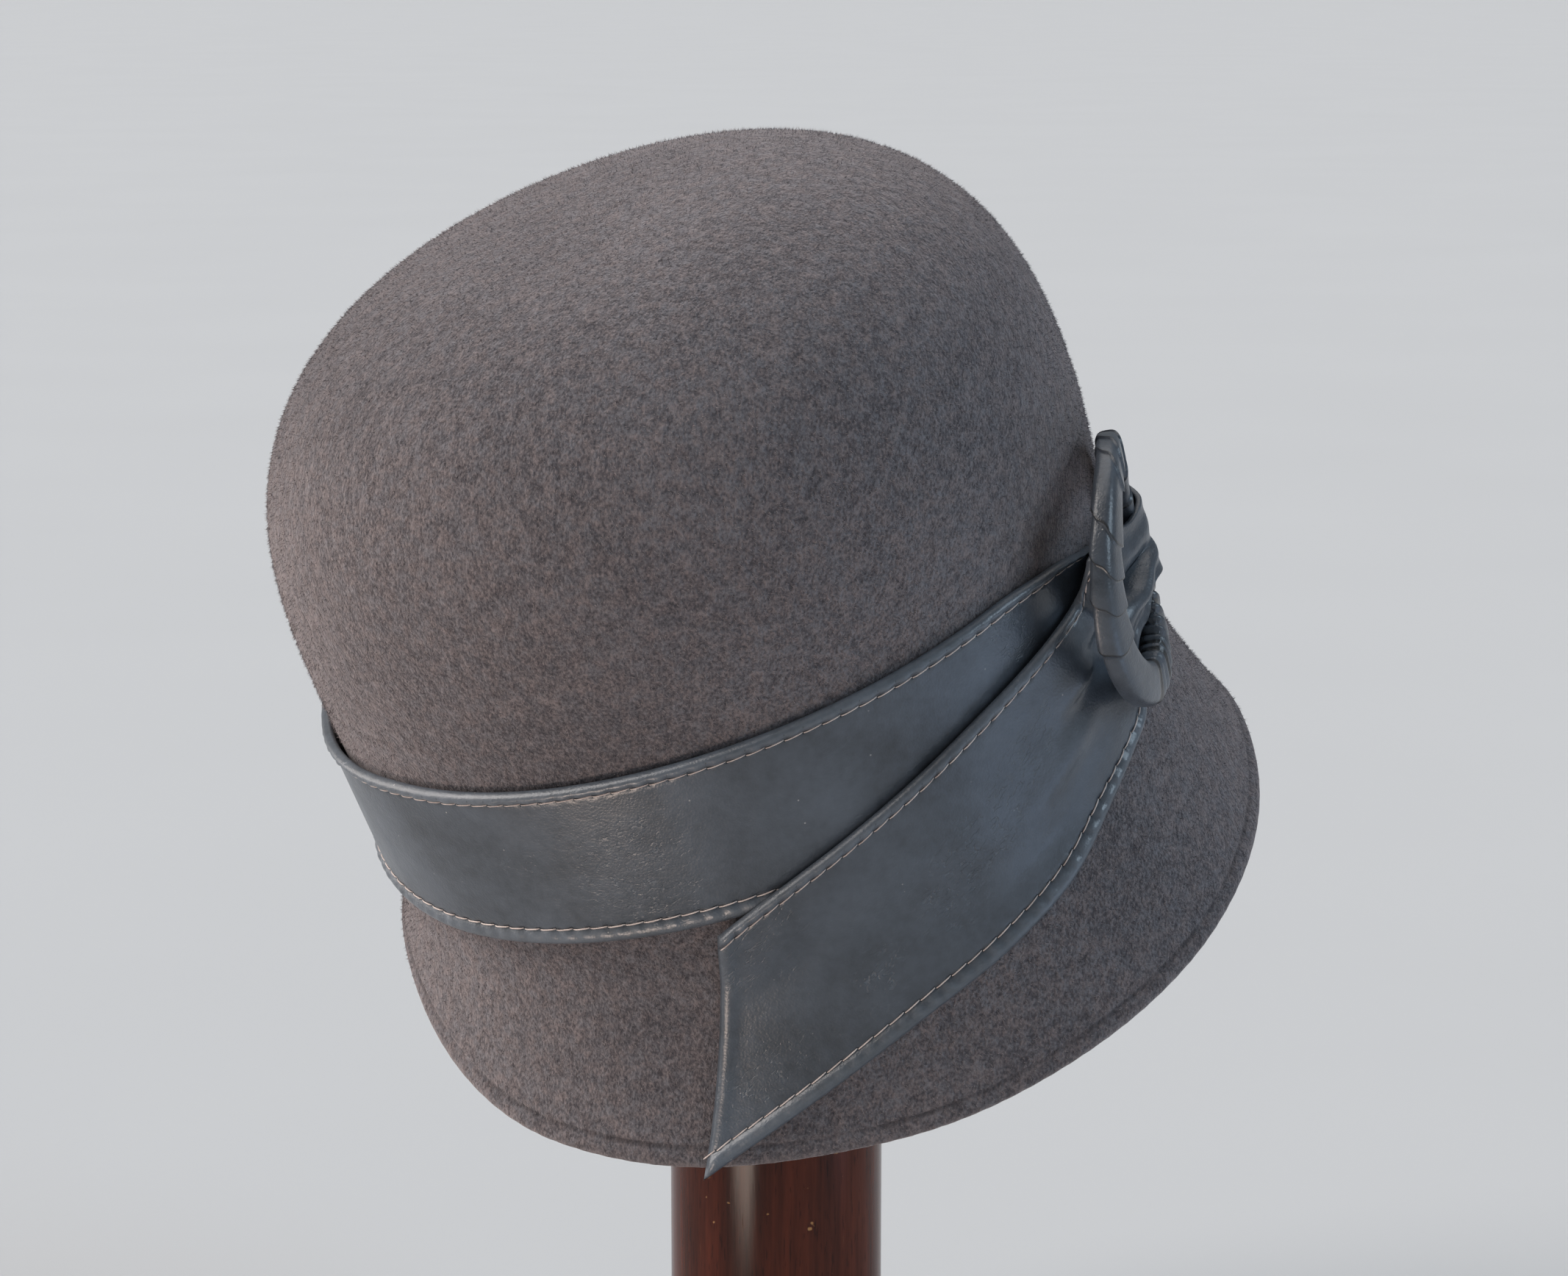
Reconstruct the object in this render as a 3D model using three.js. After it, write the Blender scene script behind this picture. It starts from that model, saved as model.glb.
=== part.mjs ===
// A felt cloche hat with a leather band, a leather tie drawn through a wrapped ring, and its wooden stand.
// Millimetres and degrees, +Z up. The origin is on the floor under the middle of the stand.
// The hat's front looks along +X and its right side, with the tie's tail, along -Y.

import * as THREE from 'three';
import { ParametricGeometry } from 'three/addons/geometries/ParametricGeometry.js';

// Driving dimensions of the felt body, in the hat's own frame: z = 0 at the head line, under the band
const HEAD_HALF_LENGTH = 101;
const HEAD_HALF_WIDTH = 87;
const CROWN_HEIGHT = 141;
const SHOULDER_HEIGHT = 55;
const CROWN_SQUARENESS = 2.87;
const CROWN_TOP_SHIFT = new THREE.Vector2(2.5, 1.2);
const WALL_SHIFT_SHARE = 0.3;
const FELT = 2.5;
const BRIM_CURL = 1.6;
const HEM_DEPTH = 0.1;
const HEM_EXTRA = 1.4;

// How far the brim drops below the head line and flares out, from front to back; both sides are alike
const BRIM_STATIONS = [
  { at: 'front', angle: 0, drop: 54.5, flare: 13.5 },
  { at: 'front quarter', angle: 45, drop: 63, flare: 19.5 },
  { at: 'side', angle: 90, drop: 66, flare: 17 },
  { at: 'back quarter', angle: 135, drop: 48, flare: 22.5 },
  { at: 'back', angle: 180, drop: 25.5, flare: 8 },
];

// How the hat sits on the stand
const HAT_LEAN_BACK = 20.5;
const HAT_TIP_RIGHT = 20;
const HAT_AT = new THREE.Vector3(-3, 10, 217.5);

// The ring presses a shallow dent into the front of the felt
const DENT = { angle: -12, height: 16, depth: 5, spread: 26 };

// Leather
const GAP = 0.4;
const BAND_GAP = 0.6;
const TAIL_GAP = 0.7;
const BAND_WIDTH = 45;
const BAND_LEATHER = 2;
const TIE_LEATHER = 1.6;
const HEM_SWELL = 0.5;
const HEM_SHARE = 0.09;

// The band's way round the crown: its lower and upper edge, drawn in where the two ends go to the ring
const BAND_ROWS = [
  { at: 'near end, under the ring', angle: -25, low: 24, high: 34.5 },
  { at: 'drawn in', angle: -33, low: 11, high: 41 },
  { at: 'full width', angle: -45, low: 0, high: BAND_WIDTH },
  { at: 'right back quarter', angle: -150, low: 0, high: BAND_WIDTH },
  { at: 'back', angle: -180, low: 2.5, high: 41 },
  { at: 'left back quarter', angle: -210, low: 0, high: BAND_WIDTH },
  { at: 'full width again', angle: -312, low: 0, high: BAND_WIDTH },
  { at: 'drawn in again', angle: -340, low: 1, high: 23 },
  { at: 'far end, by the ring', angle: -356, low: 2, high: 18 },
];

// The ring: where its middle stands on the crown, which way it faces, and how it bends with the crown
const RING = { angle: -24.7, height: 27.2, standoff: 9.5, turn: -13.3, dip: 5.5, bendRadius: 109 };
const RING_OUTER_RADIUS = 33.5;
const RING_WIDTH = 11;
const RING_THICKNESS = 6.5;
const RING_TURNS = 16;
const RING_LAP = 0.6;
const RING_LAP_SLANT = 10;

// The tie through the ring, in the ring's frame: x towards the far rim, y up, z out of its face
const TIE_RING_ROWS = [
  { at: 'down past the far rim', top: [36.8, 8.5], foot: [34.6, -16.5], out: 2.4, pleat: 0.2 },
  { at: 'over the far rim', top: [28.5, 7.5], foot: [25.5, -15], out: 5.3, pleat: 0.2 },
  { at: 'into the hole', top: [15.5, 3], foot: [11, -18], out: 3.2, pleat: 0.5 },
  { at: 'in the hole', top: [-4, 10], foot: [4.5, -20], out: -4.2, pleat: 0.8 },
  { at: 'under the near rim', top: [-19, 15.5], foot: [1, -28.5], out: -5.4, pleat: 0.4 },
];
const TIE_PLEATS = 3;

// The tie on the hat: its sewn end past the ring, and its tail. Upper and lower edge as angle and height;
// lift is how far the leather still stands off what it lies on, at the upper and the lower edge.
const TIE_SEWN_ROWS = [
  { at: 'sewn end', top: [17, 15], foot: [17, 1], lift: [0, 0] },
  { at: 'sewn to the band', top: [6, 17], foot: [6, 3], lift: [0.7, 0.7] },
];
const TIE_TAIL_ROWS = [
  { at: 'out of the ring', top: [-35.2, 32.1], foot: [-29.5, -9.8], lift: [0.6, 0.3] },
  { at: 'clear of the ring', top: [-42.9, 30], foot: [-34.4, -14], lift: [1.3, 0.4] },
  { at: 'coming down', top: [-49.4, 27.3], foot: [-42.7, -20.5], lift: [0.6, 0.3] },
  { at: 'nearly down', top: [-57.4, 24.2], foot: [-53, -28.3], lift: [0.2, 0.1] },
  { at: 'down on the band', top: [-69, 18.7], foot: [-66, -34.3], lift: [0, 0] },
  { at: 'side', top: [-82, 12], foot: [-80.3, -39.7], lift: [0, 0] },
  { at: 'past the side', top: [-94.5, 5], foot: [-97.5, -48.2], lift: [0, 0] },
  { at: 'slanted end', top: [-104.8, -2.2], foot: [-115.6, -58.3], lift: [0, 0] },
];
const TIE_STEP_DOWN = { from: -4, to: -18 };

// Stand
const POST_DIAMETER = 54;
const POST_TOP = 360;
const FOOT_DIAMETER = 160;
const FOOT_HEIGHT = 22;
const FOOT_STEP_DIAMETER = 92;
const FOOT_ROUND = 5;
const FOOT_EDGE = 2;

// Facets
const AROUND = 48;
const BAND_STEPS = 56;
const TIE_STEPS_PER_ROW = 3;
const TIE_ACROSS = 12;
const RING_SECTION_SIDES = 14;
const RING_TURN_SHARES = [0, 0.5, 0.93];
const LATHE_SIDES = 40;
const POST_END_STEP = 15;
const FOOT_CURVE_STEPS = 4;
const DOME_TURNS = [0, 7, 17, 28, 40, 52, 63, 73, 81, 87, 90];
const WALL_HEIGHTS = [0, 14, 28, 42];
const BRIM_SHARES = [1, 1 - HEM_DEPTH, 0.72, 0.48, 0.24];

const rad = THREE.MathUtils.degToRad;
const { lerp, smoothstep } = THREE.MathUtils;

// A value of the brim table at any angle round the hat, on a smooth curve through its mirrored stations
function brimValue(column, angle) {
  const spacing = BRIM_STATIONS[1].angle;
  const count = 2 * (BRIM_STATIONS.length - 1);
  const place = (((angle % 360) + 360) % 360) / spacing;
  const start = Math.floor(place);
  const station = (i) => {
    const turn = ((i % count) + count) % count;
    return BRIM_STATIONS[Math.min(turn, count - turn)][column];
  };
  const [a, b, c, d] = [-1, 0, 1, 2].map((i) => station(start + i));
  const t = place - start;
  const bend = 2 * a - 5 * b + 4 * c - d;
  const twist = 3 * (b - c) + d - a;
  return 0.5 * (2 * b + (c - a) * t + bend * t * t + twist * t * t * t);
}

// Radius of the head oval, grown outwards by lift
function oval(angle, lift) {
  const c = Math.cos(rad(angle)) / (HEAD_HALF_LENGTH + lift);
  const s = Math.sin(rad(angle)) / (HEAD_HALF_WIDTH + lift);
  return 1 / Math.hypot(c, s);
}

// A point at a radius round the hat, with the crown's small shift towards its top
function atRadius(angle, radius, height) {
  const low = THREE.MathUtils.clamp(height / SHOULDER_HEIGHT, 0, 1);
  const rise = Math.max(height - SHOULDER_HEIGHT, 0) / (CROWN_HEIGHT - SHOULDER_HEIGHT);
  return new THREE.Vector3(
    radius * Math.cos(rad(angle)) + CROWN_TOP_SHIFT.x * lerp(rise, low, WALL_SHIFT_SHARE),
    radius * Math.sin(rad(angle)) + CROWN_TOP_SHIFT.y * rise,
    height,
  );
}

// Depth of the dent under the ring
function dent(angle, height) {
  const turn = THREE.MathUtils.euclideanModulo(angle - DENT.angle + 180, 360) - 180;
  const away = Math.hypot(rad(turn) * HEAD_HALF_LENGTH, height - DENT.height) / DENT.spread;
  return DENT.depth * Math.exp(-away * away);
}

// A point on the wall or the brim, lifted outwards: height is above the head line, or below it on the brim
function hatPoint(angle, height, lift) {
  const share = Math.max(-height, 0) / brimValue('drop', angle);
  const flare = brimValue('flare', angle) * share ** BRIM_CURL;
  return atRadius(angle, oval(angle, lift) + flare - dent(angle, height), height);
}

// A point on the dome above the shoulder: turn runs from 0 at the shoulder to 90 at the top
function domePoint(angle, turn, lift) {
  const power = 2 / CROWN_SQUARENESS;
  const rise = Math.sin(rad(turn)) ** power * (CROWN_HEIGHT + lift - SHOULDER_HEIGHT);
  const spread = turn < 90 ? Math.cos(rad(turn)) ** power : 0;
  return atRadius(angle, oval(angle, lift) * spread, SHOULDER_HEIGHT + rise);
}

// Closed rings of points from the inner top of the crown, round the brim's edge, to the outer top
function feltGeometry() {
  const brim = (share, lift) => (angle) => hatPoint(angle, -share * brimValue('drop', angle), lift);
  const wall = (height, lift) => (angle) => hatPoint(angle, height, lift);
  const dome = (turn, lift) => (angle) => domePoint(angle, turn, lift);
  const outer = [
    ...BRIM_SHARES.map((share) => brim(share, 0)),
    ...WALL_HEIGHTS.map((height) => wall(height, 0)),
    ...DOME_TURNS.map((turn) => dome(turn, 0)),
  ];
  const inner = [
    ...BRIM_SHARES.map((share) => brim(share, -FELT - (share > 1 - 2 * HEM_DEPTH ? HEM_EXTRA : 0))),
    ...WALL_HEIGHTS.map((height) => wall(height, -FELT)),
    ...DOME_TURNS.map((turn) => dome(turn, -FELT)),
  ];
  const sections = [...inner.reverse(), ...outer];
  const last = sections.length - 1;
  return new ParametricGeometry((u, v, target) => {
    target.copy(sections[Math.round(v * last)](360 * (u % 1)));
  }, AROUND, last);
}

// A closed slab of leather from rows of points along its middle, thicker at its two hems
function slabGeometry(rows, thickness) {
  const along = rows.length;
  const across = rows[0].length;
  const between = (row, column, rowStep, columnStep) => {
    const to = rows[Math.min(row + rowStep, along - 1)][Math.min(column + columnStep, across - 1)];
    const from = rows[Math.max(row - rowStep, 0)][Math.max(column - columnStep, 0)];
    return to.clone().sub(from);
  };
  const positions = [];
  for (const side of [0.5, -0.5]) {
    for (let i = 0; i < along; i += 1) {
      for (let j = 0; j < across; j += 1) {
        const normal = between(i, j, 1, 0).cross(between(i, j, 0, 1)).normalize();
        const half = side * thickness(j / (across - 1));
        positions.push(...rows[i][j].clone().addScaledVector(normal, half).toArray());
      }
    }
  }
  const corner = (side, i, j) => side * along * across + i * across + j;
  const [lastRow, lastColumn] = [along - 1, across - 1];
  const index = [];
  const quad = (a, b, c, d) => index.push(a, b, c, a, c, d);
  const wall = (i, j, nextI, nextJ) => {
    quad(corner(0, i, j), corner(1, i, j), corner(1, nextI, nextJ), corner(0, nextI, nextJ));
  };
  for (let i = 0; i < lastRow; i += 1) {
    for (let j = 0; j < lastColumn; j += 1) {
      quad(corner(0, i, j), corner(0, i + 1, j), corner(0, i + 1, j + 1), corner(0, i, j + 1));
      quad(corner(1, i, j), corner(1, i, j + 1), corner(1, i + 1, j + 1), corner(1, i + 1, j));
    }
    wall(i, 0, i + 1, 0);
    wall(i + 1, lastColumn, i, lastColumn);
  }
  for (let j = 0; j < lastColumn; j += 1) {
    wall(0, j + 1, 0, j);
    wall(lastRow, j, lastRow, j + 1);
  }
  const geometry = new THREE.BufferGeometry();
  geometry.setAttribute('position', new THREE.Float32BufferAttribute(positions, 3));
  geometry.setIndex(index);
  geometry.computeVertexNormals();
  return geometry;
}

// Leather's thickness across a strip, swollen at the rolled hems
function hemmed(leather) {
  return (share) => leather + (Math.abs(share - 0.5) > 0.5 - HEM_SHARE ? HEM_SWELL : 0);
}

// The value of a named column of the band's table at an angle
function bandEdge(column, angle) {
  const after = Math.max(BAND_ROWS.findIndex((row) => row.angle <= angle), 1);
  const [from, to] = [BAND_ROWS[after - 1], BAND_ROWS[after]];
  return lerp(from[column], to[column], (angle - from.angle) / (to.angle - from.angle));
}

function bandGeometry() {
  const shares = [0, HEM_SHARE / 2, HEM_SHARE, 0.5, 1 - HEM_SHARE, 1 - HEM_SHARE / 2, 1];
  const lift = BAND_GAP + (BAND_LEATHER + HEM_SWELL) / 2;
  const [start, end] = [BAND_ROWS[0].angle, BAND_ROWS[BAND_ROWS.length - 1].angle];
  const rows = Array.from({ length: BAND_STEPS + 1 }, (_, i) => {
    const angle = lerp(start, end, i / BAND_STEPS);
    return shares.map((share) => {
      const height = lerp(bandEdge('low', angle), bandEdge('high', angle), share);
      return hatPoint(angle, height, lift);
    });
  });
  return slabGeometry(rows, hemmed(BAND_LEATHER));
}

// The ring's own frame on the crown
function ringFrame() {
  const turn = rad(RING.turn);
  const dip = rad(-RING.dip);
  const out = new THREE.Vector3(Math.cos(turn), Math.sin(turn), Math.tan(dip)).normalize();
  const far = new THREE.Vector3(-Math.sin(turn), Math.cos(turn), 0);
  const up = out.clone().cross(far);
  const frame = new THREE.Matrix4().makeBasis(far, up, out);
  return frame.setPosition(atRadius(RING.angle, oval(RING.angle, RING.standoff), RING.height));
}

// A point in the ring's frame, bent back on both sides of its middle
function bent(x, y, out) {
  return new THREE.Vector3(x, y, out - (x * x) / (2 * RING.bendRadius));
}

// A hoop of flat oval section, wound with leather: each turn swells towards its lapped edge
function ringGeometry() {
  const steps = RING_TURNS * RING_TURN_SHARES.length;
  const middle = RING_OUTER_RADIUS - RING_WIDTH / 2;
  return new ParametricGeometry((u, v, target) => {
    const step = Math.round(v * steps) % steps;
    const share = RING_TURN_SHARES[step % RING_TURN_SHARES.length];
    const turn = Math.floor(step / RING_TURN_SHARES.length) + share;
    const section = -2 * Math.PI * (u % 1);
    const around = rad(360 * (turn / RING_TURNS) + RING_LAP_SLANT * Math.sin(section));
    const shrink = RING_LAP * (1 - share);
    const radius = middle + (RING_WIDTH / 2 - shrink) * Math.cos(section);
    const out = (RING_THICKNESS / 2 - shrink) * Math.sin(section);
    target.copy(bent(radius * Math.cos(around), radius * Math.sin(around), out));
  }, RING_SECTION_SIDES, steps);
}

// How far the tie's middle lies off the felt: on the band, or on the brim below it
function tieLift(height) {
  const half = (TIE_LEATHER + HEM_SWELL) / 2;
  const onBand = BAND_GAP + BAND_LEATHER + HEM_SWELL + GAP + half;
  const onBrim = TAIL_GAP + half;
  return lerp(onBand, onBrim, smoothstep(-height, -TIE_STEP_DOWN.from, -TIE_STEP_DOWN.to));
}

// One section of the tie, from its upper to its lower edge
function tieSection(row, frame) {
  return Array.from({ length: TIE_ACROSS + 1 }, (_, j) => {
    const share = j / TIE_ACROSS;
    const x = lerp(row.top[0], row.foot[0], share);
    const y = lerp(row.top[1], row.foot[1], share);
    if (row.lift) {
      return hatPoint(x, y, tieLift(y) + lerp(row.lift[0], row.lift[1], share));
    }
    const fold = row.pleat * Math.cos(2 * Math.PI * TIE_PLEATS * share);
    return bent(x, y, row.out + fold).applyMatrix4(frame);
  });
}

function tieGeometry() {
  const frame = ringFrame();
  const stations = [...TIE_SEWN_ROWS, ...TIE_RING_ROWS, ...TIE_TAIL_ROWS];
  const sections = stations.map((row) => tieSection(row, frame));
  const lineThrough = (column) => new THREE.CatmullRomCurve3(sections.map((section) => section[column]));
  const lines = sections[0].map((_, column) => lineThrough(column));
  const steps = TIE_STEPS_PER_ROW * (sections.length - 1);
  const rows = Array.from({ length: steps + 1 }, (_, i) => lines.map((line) => line.getPoint(i / steps)));
  return slabGeometry(rows, hemmed(TIE_LEATHER));
}

// A round post whose end is half a ball
function postGeometry() {
  const radius = POST_DIAMETER / 2;
  const profile = [new THREE.Vector2(0, FOOT_HEIGHT + GAP), new THREE.Vector2(radius, FOOT_HEIGHT + GAP)];
  for (let turn = 0; turn < 90; turn += POST_END_STEP) {
    const height = POST_TOP - radius + radius * Math.sin(rad(turn));
    profile.push(new THREE.Vector2(radius * Math.cos(rad(turn)), height));
  }
  profile.push(new THREE.Vector2(0, POST_TOP));
  return new THREE.LatheGeometry(profile, LATHE_SIDES);
}

// A turned foot: a rounded rim, a hollow sweep and a flat step under the post
function footGeometry() {
  const rim = FOOT_DIAMETER / 2;
  const step = FOOT_STEP_DIAMETER / 2;
  const outline = new THREE.Shape();
  outline.moveTo(0, 0);
  outline.lineTo(rim - FOOT_ROUND, 0);
  outline.quadraticCurveTo(rim, 0, rim, FOOT_ROUND);
  outline.quadraticCurveTo(rim, 2 * FOOT_ROUND, rim - FOOT_ROUND, 2 * FOOT_ROUND);
  outline.quadraticCurveTo(step + FOOT_ROUND, 2 * FOOT_ROUND, step, FOOT_HEIGHT - FOOT_EDGE);
  outline.lineTo(step - FOOT_EDGE, FOOT_HEIGHT);
  outline.lineTo(0, FOOT_HEIGHT);
  return new THREE.LatheGeometry(outline.getPoints(FOOT_CURVE_STEPS), LATHE_SIDES);
}

// Lathes turn round Y, so what they make is stood up on Z
function stoodUp(geometry) {
  return geometry.rotateX(Math.PI / 2);
}

const felt = new THREE.MeshStandardMaterial({ color: 0x565257, roughness: 0.95, metalness: 0 });
const leather = new THREE.MeshStandardMaterial({ color: 0x53595f, roughness: 0.45, metalness: 0 });
const wood = new THREE.MeshStandardMaterial({ color: 0x4a2720, roughness: 0.35, metalness: 0 });

function piece(name, geometry, material) {
  const mesh = new THREE.Mesh(geometry, material);
  mesh.name = name;
  return mesh;
}

const ring = piece('wrapped_ring', ringGeometry(), leather);
ring.applyMatrix4(ringFrame());

const hat = new THREE.Group();
hat.position.copy(HAT_AT);
hat.rotation.set(rad(HAT_TIP_RIGHT), rad(-HAT_LEAN_BACK), 0, 'YXZ');
hat.add(
  piece('felt_body', feltGeometry(), felt),
  piece('leather_band', bandGeometry(), leather),
  piece('leather_tie', tieGeometry(), leather),
  ring,
);

const group = new THREE.Group();
group.add(
  hat,
  piece('stand_post', stoodUp(postGeometry()), wood),
  piece('stand_foot', stoodUp(footGeometry()), wood),
);

export default group;
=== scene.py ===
"""A felt cloche hat on its wooden stand, with a leather band and a tie drawn through a wrapped ring.

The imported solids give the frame. Each class lays a finer skin where one of them stands, and dresses it.
The hat's own sizes are millimetres and degrees in the hat's frame, and meshes and materials are in metres.
"""

from __future__ import annotations

import logging
import math
from dataclasses import dataclass, field
from enum import Enum
from typing import Union

import bmesh
import bpy
import numpy as np
from mathutils import Matrix, Vector

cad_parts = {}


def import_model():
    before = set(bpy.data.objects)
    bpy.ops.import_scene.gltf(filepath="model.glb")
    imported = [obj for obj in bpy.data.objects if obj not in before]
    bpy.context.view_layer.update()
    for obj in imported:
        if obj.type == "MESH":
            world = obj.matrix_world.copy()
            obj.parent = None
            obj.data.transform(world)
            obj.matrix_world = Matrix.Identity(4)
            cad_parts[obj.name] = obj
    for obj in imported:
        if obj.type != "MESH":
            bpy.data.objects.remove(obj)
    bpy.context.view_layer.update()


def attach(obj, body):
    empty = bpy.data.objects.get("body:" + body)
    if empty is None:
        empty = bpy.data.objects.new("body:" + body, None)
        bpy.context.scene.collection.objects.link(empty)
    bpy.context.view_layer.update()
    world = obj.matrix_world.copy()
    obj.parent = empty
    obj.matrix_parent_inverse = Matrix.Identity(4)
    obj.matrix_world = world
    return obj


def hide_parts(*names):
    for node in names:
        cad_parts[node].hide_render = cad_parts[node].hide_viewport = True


LOG = logging.getLogger("cloche")
MM = 0.001
BODY = "root"
STRIP_MAP = "strip"
MERGE = 1e-6

Array = np.ndarray
Triple = tuple[float, float, float]
Colour = Triple


class Slot(Enum):
    """Material slot names."""

    FELT = "felt"
    LEATHER = "leather"
    WOOD = "wood"


class Place(Enum):
    """What a row of the tie is measured on."""

    HAT = "hat"
    RING = "ring"
    RIM = "rim"


def linear(red: int, green: int, blue: int) -> Colour:
    """Turns a colour of the usual 0 to 255 screen scale into the linear one that shaders take.

    Args:
        red: the red share, 0 to 255
        green: the green share
        blue: the blue share
    Returns:
        The linear colour.
    """
    shares = np.array((red, green, blue)) / 255.0
    straight = np.where(shares > 0.04045, ((shares + 0.055) / 1.055) ** 2.4, shares / 12.92)
    return tuple(float(share) for share in straight)


def eased(value: Array, low: float, high: float) -> Array:
    """Gives the share of the way from low to high, eased at both ends.

    Args:
        value: the values to place
        low: where the share is 0
        high: where the share is 1
    Returns:
        The shares.
    """
    share = np.clip((value - low) / (high - low), 0.0, 1.0)
    return share * share * (3.0 - 2.0 * share)


def bell(value: Array, centre: float, spread: float) -> Array:
    """Gives a bell of height 1 round a centre.

    Args:
        value: the values to place
        centre: where the bell is 1
        spread: how far off it has fallen to about a third
    Returns:
        The bell's heights.
    """
    return np.exp(-(((value - centre) / spread) ** 2))


def unit(vectors: Array) -> Array:
    """Scales vectors, held along the last axis, to length 1."""
    return vectors / np.linalg.norm(vectors, axis=-1, keepdims=True)


def facing(points: Array) -> Array:
    """Gives the normals of a grid of points, along the rows crossed with along the columns."""
    return unit(np.cross(np.gradient(points, axis=0), np.gradient(points, axis=1)))


def run_lengths(points: Array) -> Array:
    """Gives the length run along the first axis of an array of points."""
    steps = np.linalg.norm(np.diff(points, axis=0), axis=-1)
    return np.concatenate([np.zeros_like(steps[:1]), np.cumsum(steps, axis=0)])


def curved_through(stations: Array, steps: int) -> Array:
    """Runs smooth curves through stations, one curve for each column, with centripetal spacing.

    Args:
        stations: points of shape (stations, columns, 3)
        steps: how many steps to make from one station to the next
    Returns:
        Points of shape (rows, columns, 3).
    """
    ends = (2.0 * stations[:1] - stations[1:2], 2.0 * stations[-1:] - stations[-2:-1])
    knots = np.concatenate([ends[0], stations, ends[1]])
    gaps = np.sqrt(np.linalg.norm(np.diff(knots, axis=0), axis=-1, keepdims=True))
    slope = np.diff(knots, axis=0) / gaps
    turn = (knots[2:] - knots[:-2]) / (gaps[1:] + gaps[:-1])
    tangent = slope[:-1] - turn + slope[1:]
    rows = []
    for index in range(len(stations) - 1):
        start, end = stations[index], stations[index + 1]
        leave, arrive = tangent[index] * gaps[index + 1], tangent[index + 1] * gaps[index + 1]
        for step in range(steps):
            t = step / steps
            bend = (2.0 * start - 2.0 * end + leave + arrive) * t
            bend = bend + 3.0 * (end - start) - 2.0 * leave - arrive
            rows.append(start + (leave + bend * t) * t)
    return np.array([*rows, stations[-1]])


def linked(name: str, data: bpy.types.ID) -> bpy.types.Object:
    """Puts an object that holds some data in the scene."""
    made = bpy.data.objects.new(name, data)
    bpy.context.scene.collection.objects.link(made)
    return made


def as_object(mesh: bmesh.types.BMesh, name: str) -> bpy.types.Object:
    """Turns a bmesh into a smooth object in the scene.

    Args:
        mesh: the bmesh, which is freed
        name: the object's name
    Returns:
        The object.
    """
    data = bpy.data.meshes.new(name)
    mesh.to_mesh(data)
    mesh.free()
    data.shade_smooth()
    return linked(name, data)


def laid_grid(
    name: str, points: Array, places: Array | None = None, marks: dict[str, Array] | None = None
) -> bpy.types.Object:
    """Lays a bmesh grid over an array of points, and closes its seams and poles.

    Args:
        name: the object's name
        points: the points in metres, of shape (rows, columns, 3)
        places: each point's place on the strip map, of shape (rows, columns, 2)
        marks: point attributes by name, each of shape (rows, columns)
    Returns:
        The object.
    """
    rows, columns = points.shape[:2]
    mesh = bmesh.new()
    strip = mesh.loops.layers.uv.new(STRIP_MAP)
    layers = {mark: mesh.verts.layers.float.new(mark) for mark in marks or {}}
    bmesh.ops.create_grid(mesh, x_segments=columns - 1, y_segments=rows - 1, size=0.5)
    for vert, point in zip(mesh.verts, points.reshape(-1, 3)):
        vert.co = point
    for mark, values in (marks or {}).items():
        for vert, value in zip(mesh.verts, values.ravel()):
            vert[layers[mark]] = value
    if places is not None:
        mesh.verts.index_update()
        spots = places.reshape(-1, 2)
        for face in mesh.faces:
            for loop in face.loops:
                loop[strip].uv = spots[loop.vert.index]
    bmesh.ops.remove_doubles(mesh, verts=mesh.verts, dist=MERGE)
    bmesh.ops.recalc_face_normals(mesh, faces=mesh.faces)
    return as_object(mesh, name)


def joined_copies(name: str, pattern: bmesh.types.BMesh, bases: Array, origins: Array) -> bpy.types.Object:
    """Joins many copies of one small pattern into one mesh.

    Args:
        name: the object's name
        pattern: the small shape, which is freed
        bases: for each copy, where the pattern's three axes go, of shape (copies, 3, 3)
        origins: for each copy, where the pattern's origin goes, of shape (copies, 3)
    Returns:
        The object.
    """
    bmesh.ops.triangulate(pattern, faces=pattern.faces)
    pattern.verts.index_update()
    corners = np.array([vert.co for vert in pattern.verts])
    faces = np.array([[vert.index for vert in face.verts] for face in pattern.faces])
    pattern.free()
    points = corners @ bases + origins[:, None, :]
    turns = faces[None] + len(corners) * np.arange(len(bases))[:, None, None]
    data = bpy.data.meshes.new(name)
    data.from_pydata(points.reshape(-1, 3), [], turns.reshape(-1, 3))
    data.shade_smooth()
    return linked(name, data)


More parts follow.
